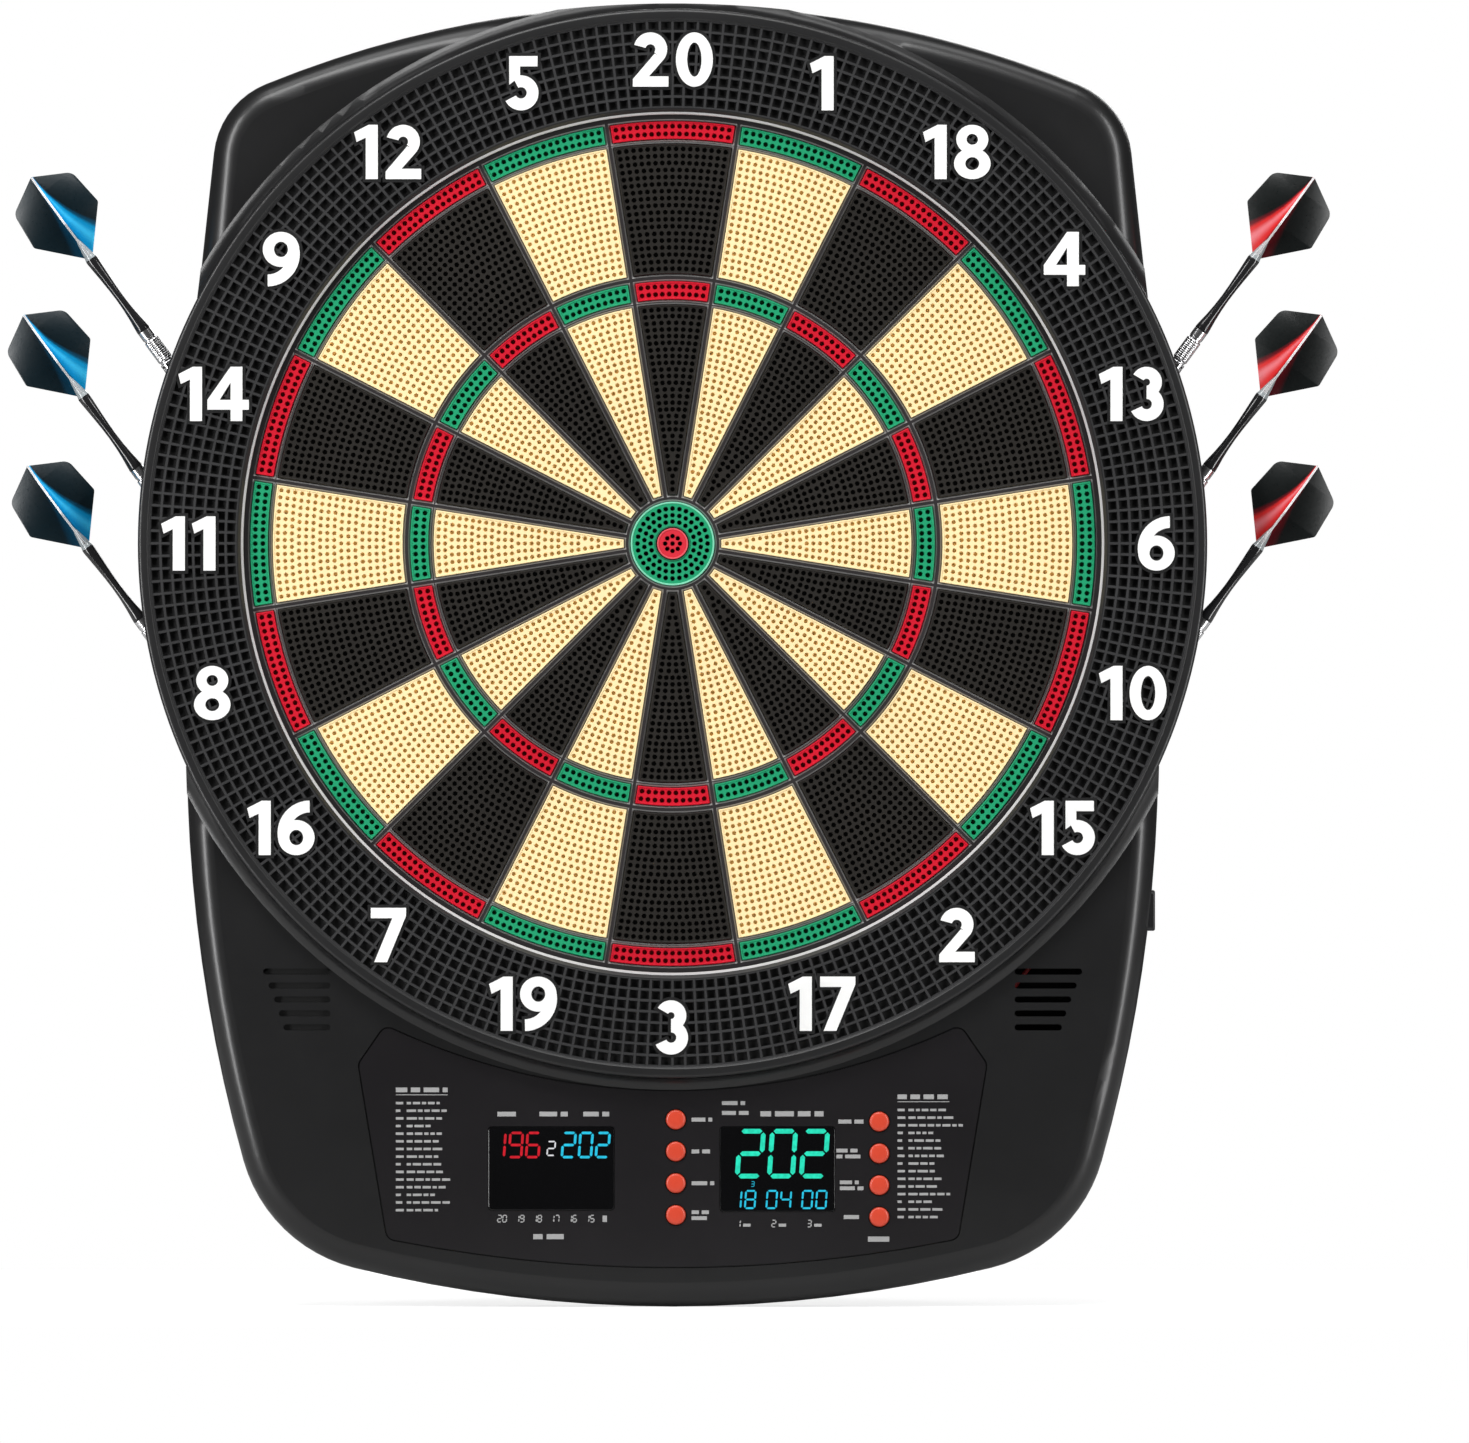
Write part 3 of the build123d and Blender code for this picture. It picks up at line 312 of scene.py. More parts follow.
# Near black for the pads round the numerals: painted shade round the digits.
halo_painted_shade = plastic("halo_painted_shade", (0.003, 0.003, 0.0033), 0.5, 2200.0, 0.015)
spider_plastic = plastic("spider_plastic", (0.026, 0.023, 0.024), 0.34, 2200.0, 0.012)
# Light grey for the black ring's inner chamfer: a painted highlight.
lip_painted_highlight = plastic("lip_painted_highlight", (0.52, 0.51, 0.51), 0.3, 2200.0, 0.01)
# Light grey for the black spider's rib chamfers and pocket walls: a painted highlight.
rib_painted_highlight = plastic("rib_painted_highlight", (0.26, 0.255, 0.25), 0.3, 2200.0, 0.01)
numeral_plastic = plastic("numeral_plastic", (0.88, 0.88, 0.87), 0.35, 2600.0, 0.01, 0.03, 0.2)
panel_plastic = plastic("panel_plastic", (0.0098, 0.0088, 0.0100), 0.30, 2400.0, 0.015)
window_gloss = plastic("window_gloss", (0.0012, 0.0012, 0.0016), 0.08, 60.0, 0.002, 0.2, 0.3, 0.02)
button_plastic = plastic("button_plastic", (0.66, 0.062, 0.028), 0.34, 1500.0, 0.02, 0.05, 0.15)
print_white = plastic("print_white", (0.36, 0.36, 0.36), 0.5, 1500.0, 0.005, 0.05)
holder_plastic = plastic("holder_plastic", (0.024, 0.024, 0.026), 0.5, 1500.0, 0.04)
bezel_plastic = plastic("bezel_plastic", (0.012, 0.012, 0.013), 0.35, 2000.0, 0.015)
rubber = plastic("damper_rubber", (0.03, 0.03, 0.03), 0.8, 700.0, 0.08)
film = plastic("membrane_film", (0.62, 0.56, 0.40), 0.3, 300.0, 0.01)
backing = plastic("backing_plastic", (0.05, 0.05, 0.05), 0.6, 900.0, 0.05)
circuit = plastic("circuit_mask", (0.008, 0.11, 0.035), 0.3, 400.0, 0.02, 0.25)
component = plastic("component_body", (0.02, 0.02, 0.02), 0.45, 1400.0, 0.03)
lead_cover = plastic("lead_cover", (0.25, 0.01, 0.01), 0.45, 900.0, 0.03)
screw_metal = metal("screw_metal", (0.55, 0.55, 0.56), 0.32)
# Near black: partly the cone's own dark colour, partly painted shade that keeps the grille slots dark.
speaker_cone_and_slot_shade = plastic("speaker_cone_and_slot_shade", (0.0025, 0.0025, 0.0025), 0.6, 700.0, 0.06)
barrel_metal = metal("barrel_metal", (0.80, 0.80, 0.81), 0.22, (500.0, 500.0, 1600.0))
shaft_plastic = plastic("shaft_plastic", (0.012, 0.012, 0.013), 0.16, 900.0, 0.01, 0.1, 0.5)
tip_plastic = plastic("tip_plastic", (0.014, 0.014, 0.015), 0.34, 1500.0, 0.02)
film_blue = flight_film(
    "film_blue", (0.05, 0.62, 1.0), (0.0, 0.34, 0.68), (0.0, 0.06, 0.12), (0.001, 0.009, 0.014))
film_red = flight_film(
    "film_red", (0.90, 0.24, 0.27), (0.74, 0.03, 0.03), (0.13, 0.006, 0.012), (0.005, 0.007, 0.007))
seam_white = plastic("seam_white", (0.86, 0.86, 0.87), 0.4, 1500.0, 0.01, 0.03)
shaft_grey = plastic("shaft_grey", (0.30, 0.33, 0.34), 0.2, 900.0, 0.01, 0.1, 0.4)
lit_red = glow("lit_red", (0.62, 0.010, 0.022), 0.95)
lit_cyan = glow("lit_cyan", (0.02, 0.56, 0.80), 0.95)
lit_white = glow("lit_white", (0.80, 0.80, 0.84), 0.8)
lit_green = glow("lit_green", (0.02, 0.76, 0.50), 0.95)


# ---- mesh helpers -----------------------------------------------------------
def finish_mesh(name, bm, materials, angle=35.0):
    """Turn a bmesh into an object, smooth but with its sharp edges kept."""
    bmesh.ops.recalc_face_normals(bm, faces=bm.faces)
    mesh = bpy.data.meshes.new(name)
    bm.to_mesh(mesh)
    bm.free()
    for entry in materials:
        mesh.materials.append(entry)
    mesh.shade_smooth()
    mesh.set_sharp_from_angle(angle=math.radians(angle))
    piece = bpy.data.objects.new(name, mesh)
    bpy.context.scene.collection.objects.link(piece)
    return piece


def at(point, depth):
    """A point on the face, given its depth from the wall, in metres."""
    return Vector((point[0] * MM, -depth * MM, point[1] * MM))


def bridge(bm, first, second, index):
    """Quads between two loops of the same length."""
    for i in range(len(first)):
        j = (i + 1) % len(first)
        face = bm.faces.new((first[i], first[j], second[j], second[i]))
        face.material_index = index


def inside(point, loop):
    """Whether a point lies in a closed loop."""
    hit = False
    for i in range(len(loop)):
        a, b = loop[i], loop[i - 1]
        if (a[1] > point[1]) != (b[1] > point[1]):
            if point[0] < (b[0] - a[0]) * (point[1] - a[1]) / (b[1] - a[1]) + a[0]:
                hit = not hit
    return hit


def plate(bm, rim, stacks, indices=(0, 1, 2, 0)):
    """A flat field with holes. rim and each stack are lists of (loop, depth), from the field outwards
    or inwards. Indices are the materials of the body, the holes' walls, their floors and the rim."""
    loops = [rim[0][0]] + [stack[0][0] for stack in stacks]
    points, edges, owner = [], [], []
    for number, loop in enumerate(loops):
        start = len(points)
        points += [Vector(p) for p in loop]
        owner += [number] * len(loop)
        edges += [(start + i, start + (i + 1) % len(loop)) for i in range(len(loop))]
    flat, _, triangles, origin, _, _ = delaunay_2d_cdt(points, edges, [], 0, 1e-5)
    source = [ids[0] for ids in origin]
    placed = {source[i]: bm.verts.new(at(flat[i], rim[0][1])) for i in range(len(flat))}
    for triangle in triangles:
        corners = [source[i] for i in triangle]
        owners = {owner[i] for i in corners}
        if len(owners) == 1:
            middle = sum((points[i] for i in corners), Vector((0, 0))) / 3
            number = owners.pop()
            if inside(middle, loops[number]) == (number > 0):
                continue
        bm.faces.new([placed[i] for i in corners]).material_index = indices[0]
    start = 0
    for number, stack in enumerate([rim] + stacks):
        ring = [placed[start + i] for i in range(len(stack[0][0]))]
        start += len(ring)
        side = indices[3] if number == 0 else indices[1]
        for loop, depth in stack[1:]:
            following = [bm.verts.new(at(p, depth)) for p in loop]
            bridge(bm, ring, following, side)
            ring = following
        bm.faces.new(ring).material_index = indices[0] if number == 0 else indices[2]


def circle(radius, count, centre=(0.0, 0.0), phase=0.0):
    """A loop of points on a circle."""
    return [
        (
            centre[0] + radius * math.cos(phase + TAU * i / count),
            centre[1] + radius * math.sin(phase + TAU * i / count),
        )
        for i in range(count)
    ]


def wedge_loop(low, high, inset, steps=12):
    """The outline of one segment about 12 o'clock, its side edges parallel to the ribs."""
    half = math.pi / WEDGES
    wide = half - math.asin(inset / high)
    narrow = half - math.asin(inset / low)
    outer = [-wide + 2 * wide * i / steps for i in range(steps + 1)]
    inner = [narrow - 2 * narrow * i / steps for i in range(steps + 1)]
    return [(high * math.sin(a), high * math.cos(a)) for a in outer] + [
        (low * math.sin(a), low * math.cos(a)) for a in inner
    ]


def lathe(bm, profile, steps, matrix=Matrix()):
    """Turn a profile of (radius, height) about the matrix's Z axis; radius 0 closes an end."""
    rows = []
    for radius, height in profile:
        if radius == 0:
            rows.append([bm.verts.new(matrix @ Vector((0, 0, height * MM)))])
        else:
            ring = []
            for i in range(steps):
                angle = TAU * i / steps
                spot = Vector((radius * math.cos(angle), radius * math.sin(angle), height)) * MM
                ring.append(bm.verts.new(matrix @ spot))
            rows.append(ring)
    for first, second in zip(rows, rows[1:]):
        if len(first) == 1 or len(second) == 1:
            point, ring = (first[0], second) if len(first) == 1 else (second[0], first)
            for i in range(steps):
                bm.faces.new((point, ring[i], ring[(i + 1) % steps]))
        else:
            bridge(bm, first, second, 0)


def facing(x, z):
    """A matrix whose Z axis points at the player, so that heights are depths from the wall."""
    return Matrix(((1, 0, 0, x * MM), (0, 0, -1, 0), (0, 1, 0, z * MM), (0, 0, 0, 1)))


def copy_turned(template, name, heading, materials):
    """A copy of a mesh, turned about the bull's axis."""
    mesh = template.data.copy()
    mesh.name = name
    mesh.transform(Matrix.Rotation(math.radians(heading), 4, "Y"))
    mesh.materials.clear()
    for entry in materials:
        mesh.materials.append(entry)
    piece = bpy.data.objects.new(name, mesh)
    bpy.context.scene.collection.objects.link(piece)
    return piece


# ---- target segments: a chamfered rim, a sunk field and countersunk holes ---
def segment_rim(low, high):
    """Loops from the sunk field over the raised border and down to the back."""
    steps = [
        (0.75, SEGMENT_FRONT - FIELD_SINK),
        (0.55, SEGMENT_FRONT),
        (0.18, SEGMENT_FRONT),
        (0.0, SEGMENT_FRONT - 0.22),
        (0.0, SEGMENT_BACK),
    ]
    return [(wedge_loop(low + d, high - d, HALF_RIB + d), depth) for d, depth in steps]


def hole(centre, radius, phase, deep=4.2):
    """A blind hole with a countersunk mouth."""
    field = SEGMENT_FRONT - FIELD_SINK
    return [
        (circle(radius + 0.22, 8, centre, phase), field),
        (circle(radius, 8, centre, phase), field - 0.35),
        (circle(radius * 0.94, 8, centre, phase), field - deep),
    ]


def row_of_holes(radius, size, deep, count):
    """Holes spread evenly along an arc between a segment's side edges; a count of None follows the pitch."""
    half = math.pi / WEDGES - math.asin((HALF_RIB + HOLE_MARGIN) / radius)
    if count is None:
        span = max(0.0, 2 * half * radius)
        count = 1 + min(round(span / HOLE_PITCH), int(span / CLOSEST_HOLES))
    angles = [0.0] if count == 1 else [-half + 2 * half * i / (count - 1) for i in range(count)]
    return [
        hole((radius * math.sin(a), radius * math.cos(a)), size, math.pi / 8 - a, deep)
        for a in angles
    ]


def segment_holes(band, warm):
    """Every hole of one segment: the pale segments' are finer and shallower."""
    low, high = BANDS[band]
    size, deep = (0.84, 2.0) if warm else (0.97 if high - low < 10 else 0.92, 4.2)
    if band == "double":
        rows = [(low + 2.05, 17), (high - 2.05, 17)]
    elif band == "triple":
        rows = [(low + 2.1, 10), (high - 2.1, 10)]
    elif band == "outer_single":
        rows = [(high - 2.0 - 2.858 * i, None) for i in range(18)]
    else:
        rows = [(high - 1.9 - 2.70 * i, None) for i in range(28)]
    return [one for radius, count in rows for one in row_of_holes(radius, size, deep, count)]


BLACK_NUMBERS = {20, 18, 13, 10, 2, 3, 7, 8, 14, 12}
for band, (low, high) in BANDS.items():
    templates = {}
    for warm in (False, True):
        bm = bmesh.new()
        plate(bm, segment_rim(low, high), segment_holes(band, warm), (0, 1, 2, 3))
        templates[warm] = finish_mesh(f"template_{band}_{warm}", bm, [segment_black], 30)
    for index, number in enumerate(NUMBERS):
        dark = number in BLACK_NUMBERS
        if band in ("double", "triple"):
            surface = segment_red if dark else segment_green
        else:
            surface = segment_black if dark else segment_cream
        warm = surface is segment_cream
        name = f"{band}_{number:02d}"
        # Hole bottoms in painted shade.
        floor = painted_warm_bottom_shade if warm else painted_bottom_shade
        # The fourth skin, the border, is a painted highlight.
        skins = [surface, painted_walls_of[surface], floor, highlight_borders_of[surface]]
        piece = copy_turned(templates[warm], name, index * 18, skins)
        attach(piece, f"wedge_{number:02d}")
        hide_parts(f"wedge_{number:02d}")
    for template in templates.values():
        bpy.data.objects.remove(template)

BULL_RADIUS = 17.0
BULL_BORE = 6.7
BULL_BUTTON = 6.3
bm = bmesh.new()
outer_loops = [(circle(BULL_RADIUS - d, 72), depth) for d, depth in (
    (0.75, SEGMENT_FRONT - FIELD_SINK), (0.55, SEGMENT_FRONT), (0.18, SEGMENT_FRONT),
    (0.0, SEGMENT_FRONT - 0.22), (0.0, SEGMENT_BACK))]
bore_loops = [(circle(BULL_BORE + d, 72), depth) for d, depth in (
    (0.6, SEGMENT_FRONT - FIELD_SINK), (0.45, SEGMENT_FRONT), (0.12, SEGMENT_FRONT),
    (0.0, SEGMENT_FRONT - 0.2), (0.0, SEGMENT_BACK))]
bull_holes = []
for radius, count in ((14.2, 32), (11.5, 26), (8.9, 20)):
    for i in range(count):
        a = TAU * i / count
        bull_holes.append(hole((radius * math.sin(a), radius * math.cos(a)), 0.86, math.pi / 8 - a))
plate(bm, outer_loops, bull_holes + [bore_loops], (0, 1, 2, 3))
back = [face for face in bm.faces if len(face.verts) == 72]
bmesh.ops.delete(bm, geom=back, context="FACES_ONLY")
bm.verts.ensure_lookup_table()
ends = sorted((v for v in bm.verts if v.is_boundary), key=lambda v: math.atan2(v.co.x, v.co.z))
far_side = [v for v in ends if v.co.xz.length > 0.012]
near_side = [v for v in ends if v.co.xz.length < 0.012]
bridge(bm, far_side, near_side, 0)
# The bull ring's hole walls and bottoms carry painted shade, its border a painted highlight.
green = [segment_green, painted_walls_of[segment_green], painted_bottom_shade, highlight_borders_of[segment_green]]
piece = finish_mesh("bull_ring", bm, green, 30)
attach(piece, "bull_outer")
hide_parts("bull_outer")

bm = bmesh.new()
button_loops = [(circle(BULL_BUTTON - d, 48), depth) for d, depth in (
    (0.65, SEGMENT_FRONT - FIELD_SINK), (0.5, SEGMENT_FRONT), (0.16, SEGMENT_FRONT),
    (0.0, SEGMENT_FRONT - 0.2), (0.0, SEGMENT_BACK))]
middle_holes = [hole(point, 0.86, math.pi / 8) for point in [(0, 0)] + circle(3.0, 8)]
plate(bm, button_loops, middle_holes, (0, 1, 2, 3))
# The bull's hole walls and bottoms carry painted shade, its border a painted highlight.
skins = [bull_red, painted_walls_of[bull_red], painted_bottom_shade, highlight_borders_of[bull_red]]
piece = finish_mesh("bull_button", bm, skins, 30)
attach(piece, "bull_inner")
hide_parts("bull_inner")

# ---- spider: chamfered ribs, their chamfers and pocket walls in a painted highlight ---
RIB_STEPS = [(0.58, SPIDER_FRONT), (0.0, SPIDER_FRONT - 0.5), (0.0, SPIDER_BACK)]
bm = bmesh.new()
pockets = []
for index in range(WEDGES):
    turn = math.radians(index * 18)
    for low, high in BANDS.values():
        stack = []
        for grow, depth in RIB_STEPS:
            grown = POCKET_GAP + grow
            loop = wedge_loop(low - grown, high + grown, HALF_RIB - grown)
            spun = [
                (x * math.cos(turn) + z * math.sin(turn), z * math.cos(turn) - x * math.sin(turn))
                for x, z in loop
            ]
            stack.append((spun, depth))
        pockets.append(stack)
middle = BULL_RADIUS + POCKET_GAP
pockets.append([(circle(middle + grow, 72), depth) for grow, depth in RIB_STEPS])
edge = [(circle(SPIDER_RADIUS - 0.2, 240), SPIDER_FRONT), (circle(SPIDER_RADIUS, 240), SPIDER_FRONT - 0.2),
        (circle(SPIDER_RADIUS, 240), SPIDER_BACK)]
# Index 1, the light grey rib material on the chamfers and walls, is a painted highlight.
plate(bm, edge, pockets, (0, 1, 1, 0))
caps = [face for face in bm.faces if len(face.verts) > 20]
bmesh.ops.delete(bm, geom=caps, context="FACES_ONLY")
backs = [v for v in bm.verts if v.is_boundary]
back_edges = [e for e in bm.edges if e.is_boundary]
flat = [Vector((v.co.x / MM, v.co.z / MM)) for v in backs]
number_of = {v: i for i, v in enumerate(backs)}
lines = [(number_of[e.verts[0]], number_of[e.verts[1]]) for e in back_edges]
_, _, triangles, origin, _, _ = delaunay_2d_cdt(flat, lines, [], 0, 1e-5)
closing = [stack[-1][0] for stack in pockets]
for triangle in triangles:
    corners = [origin[i][0] for i in triangle]
    centre = sum((flat[i] for i in corners), Vector((0, 0))) / 3
    if centre.length > SPIDER_RADIUS or any(inside(centre, loop) for loop in closing):
        continue
    bm.faces.new([backs[i] for i in corners])
piece = finish_mesh("spider_web", bm, [spider_plastic, rib_painted_highlight], 30)
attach(piece, "board")
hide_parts("spider")

# ---- catch ring: a rounded rim and 2,048 square cells -----------------------
bm = bmesh.new()
pitch = (GRID_OUTER - GRID_INNER) / GRID_ROWS
lattice = [
    [bm.verts.new(at(p, GRID_DEPTH)) for p in circle(GRID_INNER + pitch * row, GRID_COLUMNS)]
    for row in range(GRID_ROWS + 1)
]
CELL_STEPS = [(0.38, GRID_DEPTH), (0.58, GRID_DEPTH - 0.3), (0.72, NUMERAL_BACK + 0.1)]
for row in range(GRID_ROWS):
    low = GRID_INNER + pitch * row
    for column in range(GRID_COLUMNS):
        a, b = TAU * column / GRID_COLUMNS, TAU * (column + 1) / GRID_COLUMNS
        after = (column + 1) % GRID_COLUMNS
        ring = [lattice[row][column], lattice[row][after], lattice[row + 1][after], lattice[row + 1][column]]
        for number, (rib, depth) in enumerate(CELL_STEPS):
            spots = []
            for radius, angle, turn in ((low + rib, a, 1), (low + rib, b, -1),
                                        (low + pitch - rib, b, -1), (low + pitch - rib, a, 1)):
                spin = angle + turn * rib / radius
                spots.append((radius * math.cos(spin), radius * math.sin(spin)))
            following = [bm.verts.new(at(spot, depth)) for spot in spots]
            # The deeper walls and the floor of each cell take the pit material, painted shade.
            bridge(bm, ring, following, 0 if number < 2 else 1)
            ring = following
        bm.faces.new(ring).material_index = 1
rim_round = [(RING_OUTER - 1.5 + 1.5 * math.cos(t), RING_FRONT - 1.5 + 1.5 * math.sin(t))
             for t in (0, 0.4, 0.8, 1.2, math.pi / 2)]
profile = [
    (GRID_INNER, GRID_DEPTH), (176.2, 35.75), (175.75, 35.3), (174.9, 34.3), (174.2, 34.1), (173.9, 33.7),
    (173.9, 30.5), (176.5, 30.5), (176.5, RING_BACK), (179.5, RING_BACK), (179.5, 31.4), (213.6, 31.4),
    (213.6, RING_BACK), (RING_OUTER - 0.4, RING_BACK), (RING_OUTER, RING_BACK + 0.4), *rim_round,
    (212.9, RING_FRONT), (212.3, RING_FRONT - 0.4), (GRID_OUTER, GRID_DEPTH),
]
lathe(bm, profile, GRID_COLUMNS, facing(0, 0))
# The inner lip's chamfer gets the light grey lip material, a painted highlight.
for face in bm.faces:
    spot = face.calc_center_median() / MM
    reach = math.hypot(spot.x, spot.z)
    if 173.9 < reach < 175.0 and spot.y < -33.0:
        face.material_index = 2
    elif reach > 212.2 or reach < 176.4:
        face.material_index = 3
for index in range(WEDGES):
    angle = math.radians(9 + index * 18)
    along, sideways = Vector((math.cos(angle), math.sin(angle))), Vector((-math.sin(angle), math.cos(angle)))
    spots = ((179.2, -0.8), (213.8, -0.8), (213.8, 0.8), (179.2, 0.8))
    corners = [along * r + sideways * s for r, s in spots]
    low_ring = [bm.verts.new(at(p, RING_BACK + 0.3)) for p in corners]
    high_ring = [bm.verts.new(at(p, 31.6)) for p in corners]
    bridge(bm, low_ring, high_ring, 0)
    bm.faces.new(low_ring)
    bm.faces.new(high_ring)
bmesh.ops.remove_doubles(bm, verts=bm.verts, dist=2e-6)
piece = finish_mesh("number_ring", bm, [ring_plastic, pit_painted_shade, lip_painted_highlight, rim_plastic], 30)
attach(piece, "board")
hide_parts("catch_ring")


# ---- numerals: softened edges, on near-black surrounds of painted shade -----
def softened(node, name, width, material):
    """A copy of a CAD node with its sharp edges rounded."""
    bm = bmesh.new()
    bm.from_mesh(frame["nodes"][node].data)
    bmesh.ops.remove_doubles(bm, verts=bm.verts, dist=2e-6)
    bmesh.ops.dissolve_limit(bm, angle_limit=math.radians(1), verts=bm.verts, edges=bm.edges)
    sharp = [e for e in bm.edges if e.is_manifold and e.calc_face_angle() > math.radians(40)]
    bmesh.ops.bevel(bm, geom=sharp, offset=width * MM, offset_type="OFFSET", segments=2,
                    profile=0.5, affect="EDGES", clamp_overlap=True)
    for face in bm.faces:
        face.material_index = 0
    piece = finish_mesh(name, bm, [material], 24)
    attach(piece, frame["nodes"][node]["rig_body"])
    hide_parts(node)
    return piece


softened("numerals", "numbers", 0.35, numeral_plastic)


def front_loops(node):
    """The closed outlines of a node's foremost flat faces, in millimetres."""
    bm = bmesh.new()
    bm.from_mesh(frame["nodes"][node].data)
    bmesh.ops.remove_doubles(bm, verts=bm.verts, dist=2e-6)
    front = min(v.co.y for v in bm.verts)
    flat = {f for f in bm.faces if all(v.co.y < front + 1e-5 for v in f.verts)}
    steps = {}
    for face in flat:
        for side in face.loops:
            others = [f for f in side.edge.link_faces if f is not face]
            if not any(f in flat for f in others):
                steps[side.vert] = side.link_loop_next.vert
    loops = []
    while steps:
        start, here = next(iter(steps.items()))
        loop = [start]
        del steps[start]
        while here is not start:
            loop.append(here)
            here = steps.pop(here)
        loops.append([(v.co.x / MM, v.co.z / MM) for v in loop])
    bm.free()
    return loops


def area(loop):
    """Signed area of a closed loop."""
    return sum(loop[i - 1][0] * p[1] - p[0] * loop[i - 1][1] for i, p in enumerate(loop)) / 2


def grown(loop, amount):
    """A loop moved outwards, or inwards for a negative amount, with short mitres."""
    turn = 1 if area(loop) > 0 else -1
    result = []
    for i, point in enumerate(loop):
        before, after = Vector(loop[i - 1]), Vector(loop[(i + 1) % len(loop)])
        here = Vector(point)
        first, second = (here - before).normalized(), (after - here).normalized()
        normal = Vector((first.y + second.y, -first.x - second.x)) * turn
        if normal.length < 1e-6:
            normal = Vector((first.y, -first.x)) * turn
        normal.normalize()
        mitre = min(1.6, 1 / max(0.3, normal.dot(Vector((first.y, -first.x)) * turn)))
        result.append(tuple(here + normal * amount * mitre))
    return result


def winding(point, loops):
    """How many times closed loops go round a point."""
    count = 0
    for loop in loops:
        for i in range(len(loop)):
            (x0, z0), (x1, z1) = loop[i - 1], loop[i]
            if (z0 > point[1]) != (z1 > point[1]):
                if point[0] < (x1 - x0) * (point[1] - z0) / (z1 - z0) + x0:
                    count += 1 if z1 > z0 else -1
    return count


# Near-black pads round the numerals, just proud of the grid: painted shade round the digits.
HALO = 1.25
COUNTER = 0.7
HALO_TOP = GRID_DEPTH + 0.12
HALO_BASE = NUMERAL_BACK + 0.1
clusters = {}
outlines = front_loops("numerals")
for loop in outlines:
    middle = sum((Vector(p) for p in loop), Vector((0, 0))) / len(loop)
    clusters.setdefault(round(math.degrees(math.atan2(middle.x, middle.y)) / 18) % WEDGES, []).append(loop)
bm = bmesh.new()
for group in clusters.values():
    loops = []
    for loop in group:
        is_hole = any(inside(loop[0], other) for other in group if other is not loop)
        if is_hole and abs(area(loop)) < 12:
            continue
        wide = grown(loop, -COUNTER if is_hole else HALO)
        loops.append(wide if (area(wide) > 0) != is_hole else wide[::-1])
    points, edges = [], []
    for loop in loops:
        start = len(points)
        points += [Vector(p) for p in loop]
        edges += [(start + i, start + (i + 1) % len(loop)) for i in range(len(loop))]
    flat, _, triangles, _, _, _ = delaunay_2d_cdt(points, edges, [], 0, 1e-4)
    placed = [bm.verts.new(at(p, HALO_BASE)) for p in flat]
    for triangle in triangles:
        middle = sum((flat[i] for i in triangle), Vector((0, 0))) / 3
        if winding(middle, loops) > 0:
            bm.faces.new([placed[i] for i in triangle])
bmesh.ops.delete(bm, geom=[v for v in bm.verts if not v.link_faces], context="VERTS")
raised = bmesh.ops.extrude_face_region(bm, geom=bm.faces[:], use_keep_orig=True)["geom"]
lift = Vector((0, (HALO_BASE - HALO_TOP) * MM, 0))
bmesh.ops.translate(bm, verts=[g for g in raised if isinstance(g, bmesh.types.BMVert)], vec=lift)
piece = finish_mesh("number_surrounds_painted_shade", bm, [halo_painted_shade], 30)
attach(piece, "board")

# ---- plain CAD nodes that keep their shape ----------------------------------
KEPT = {
    "front_housing": housing_plastic,
    "rear_cover": cover_plastic,
    "damper_sheet": rubber,
    "contact_membrane": film,
    "membrane_tails": film,
    "backing_plate": backing,
    "control_board": circuit,
    "board_components": component,
    "display_modules": component,
    "key_switches": component,
    # The loudspeaker's near black is partly painted shade for the grille slots.
    "speaker": speaker_cone_and_slot_shade,
    "speaker_clamp": holder_plastic,
    "case_screws": screw_metal,
    "inner_screws": screw_metal,
    "internal_leads": lead_cover,
    "power_socket": component,
    "panel_faceplate": panel_plastic,
}
for node, material in KEPT.items():
    for entry in frame["nodes"][node].material_slots:
        entry.material = material

for side in ("left", "right"):
    piece = softened(f"dart_holder_{side}", f"holder_{side}", 0.4, holder_plastic)
softened("socket_bezel", "power_bezel", 0.3, bezel_plastic)
softened("display_windows", "window_panes", 0.25, window_gloss)

# ---- buttons: a shallow dome with a rolled edge -----------------------------
for node in frame["nodes"]:
    if node.startswith("button_"):
        low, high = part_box(node)
        middle = (low + high) / 2 / MM
        front, rear = -low.y / MM, -high.y / MM
        dome = [(0, front), (1.2, front - 0.02), (2.4, front - 0.10), (3.2, front - 0.22)]
        edge = [(3.62, front - 0.40), (3.88, front - 0.70), (KEY_RADIUS, front - 1.1)]
        flange = KEY_RADIUS + 1
        skirt = [(KEY_RADIUS, rear + 1.2), (flange, rear + 1.2), (flange, rear), (0, rear)]
        bm = bmesh.new()
        lathe(bm, dome + edge + skirt, 48, facing(middle.x, middle.z))
        piece = finish_mesh(f"key_{node[7:]}", bm, [button_plastic], 50)
        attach(piece, node)
        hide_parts(node)


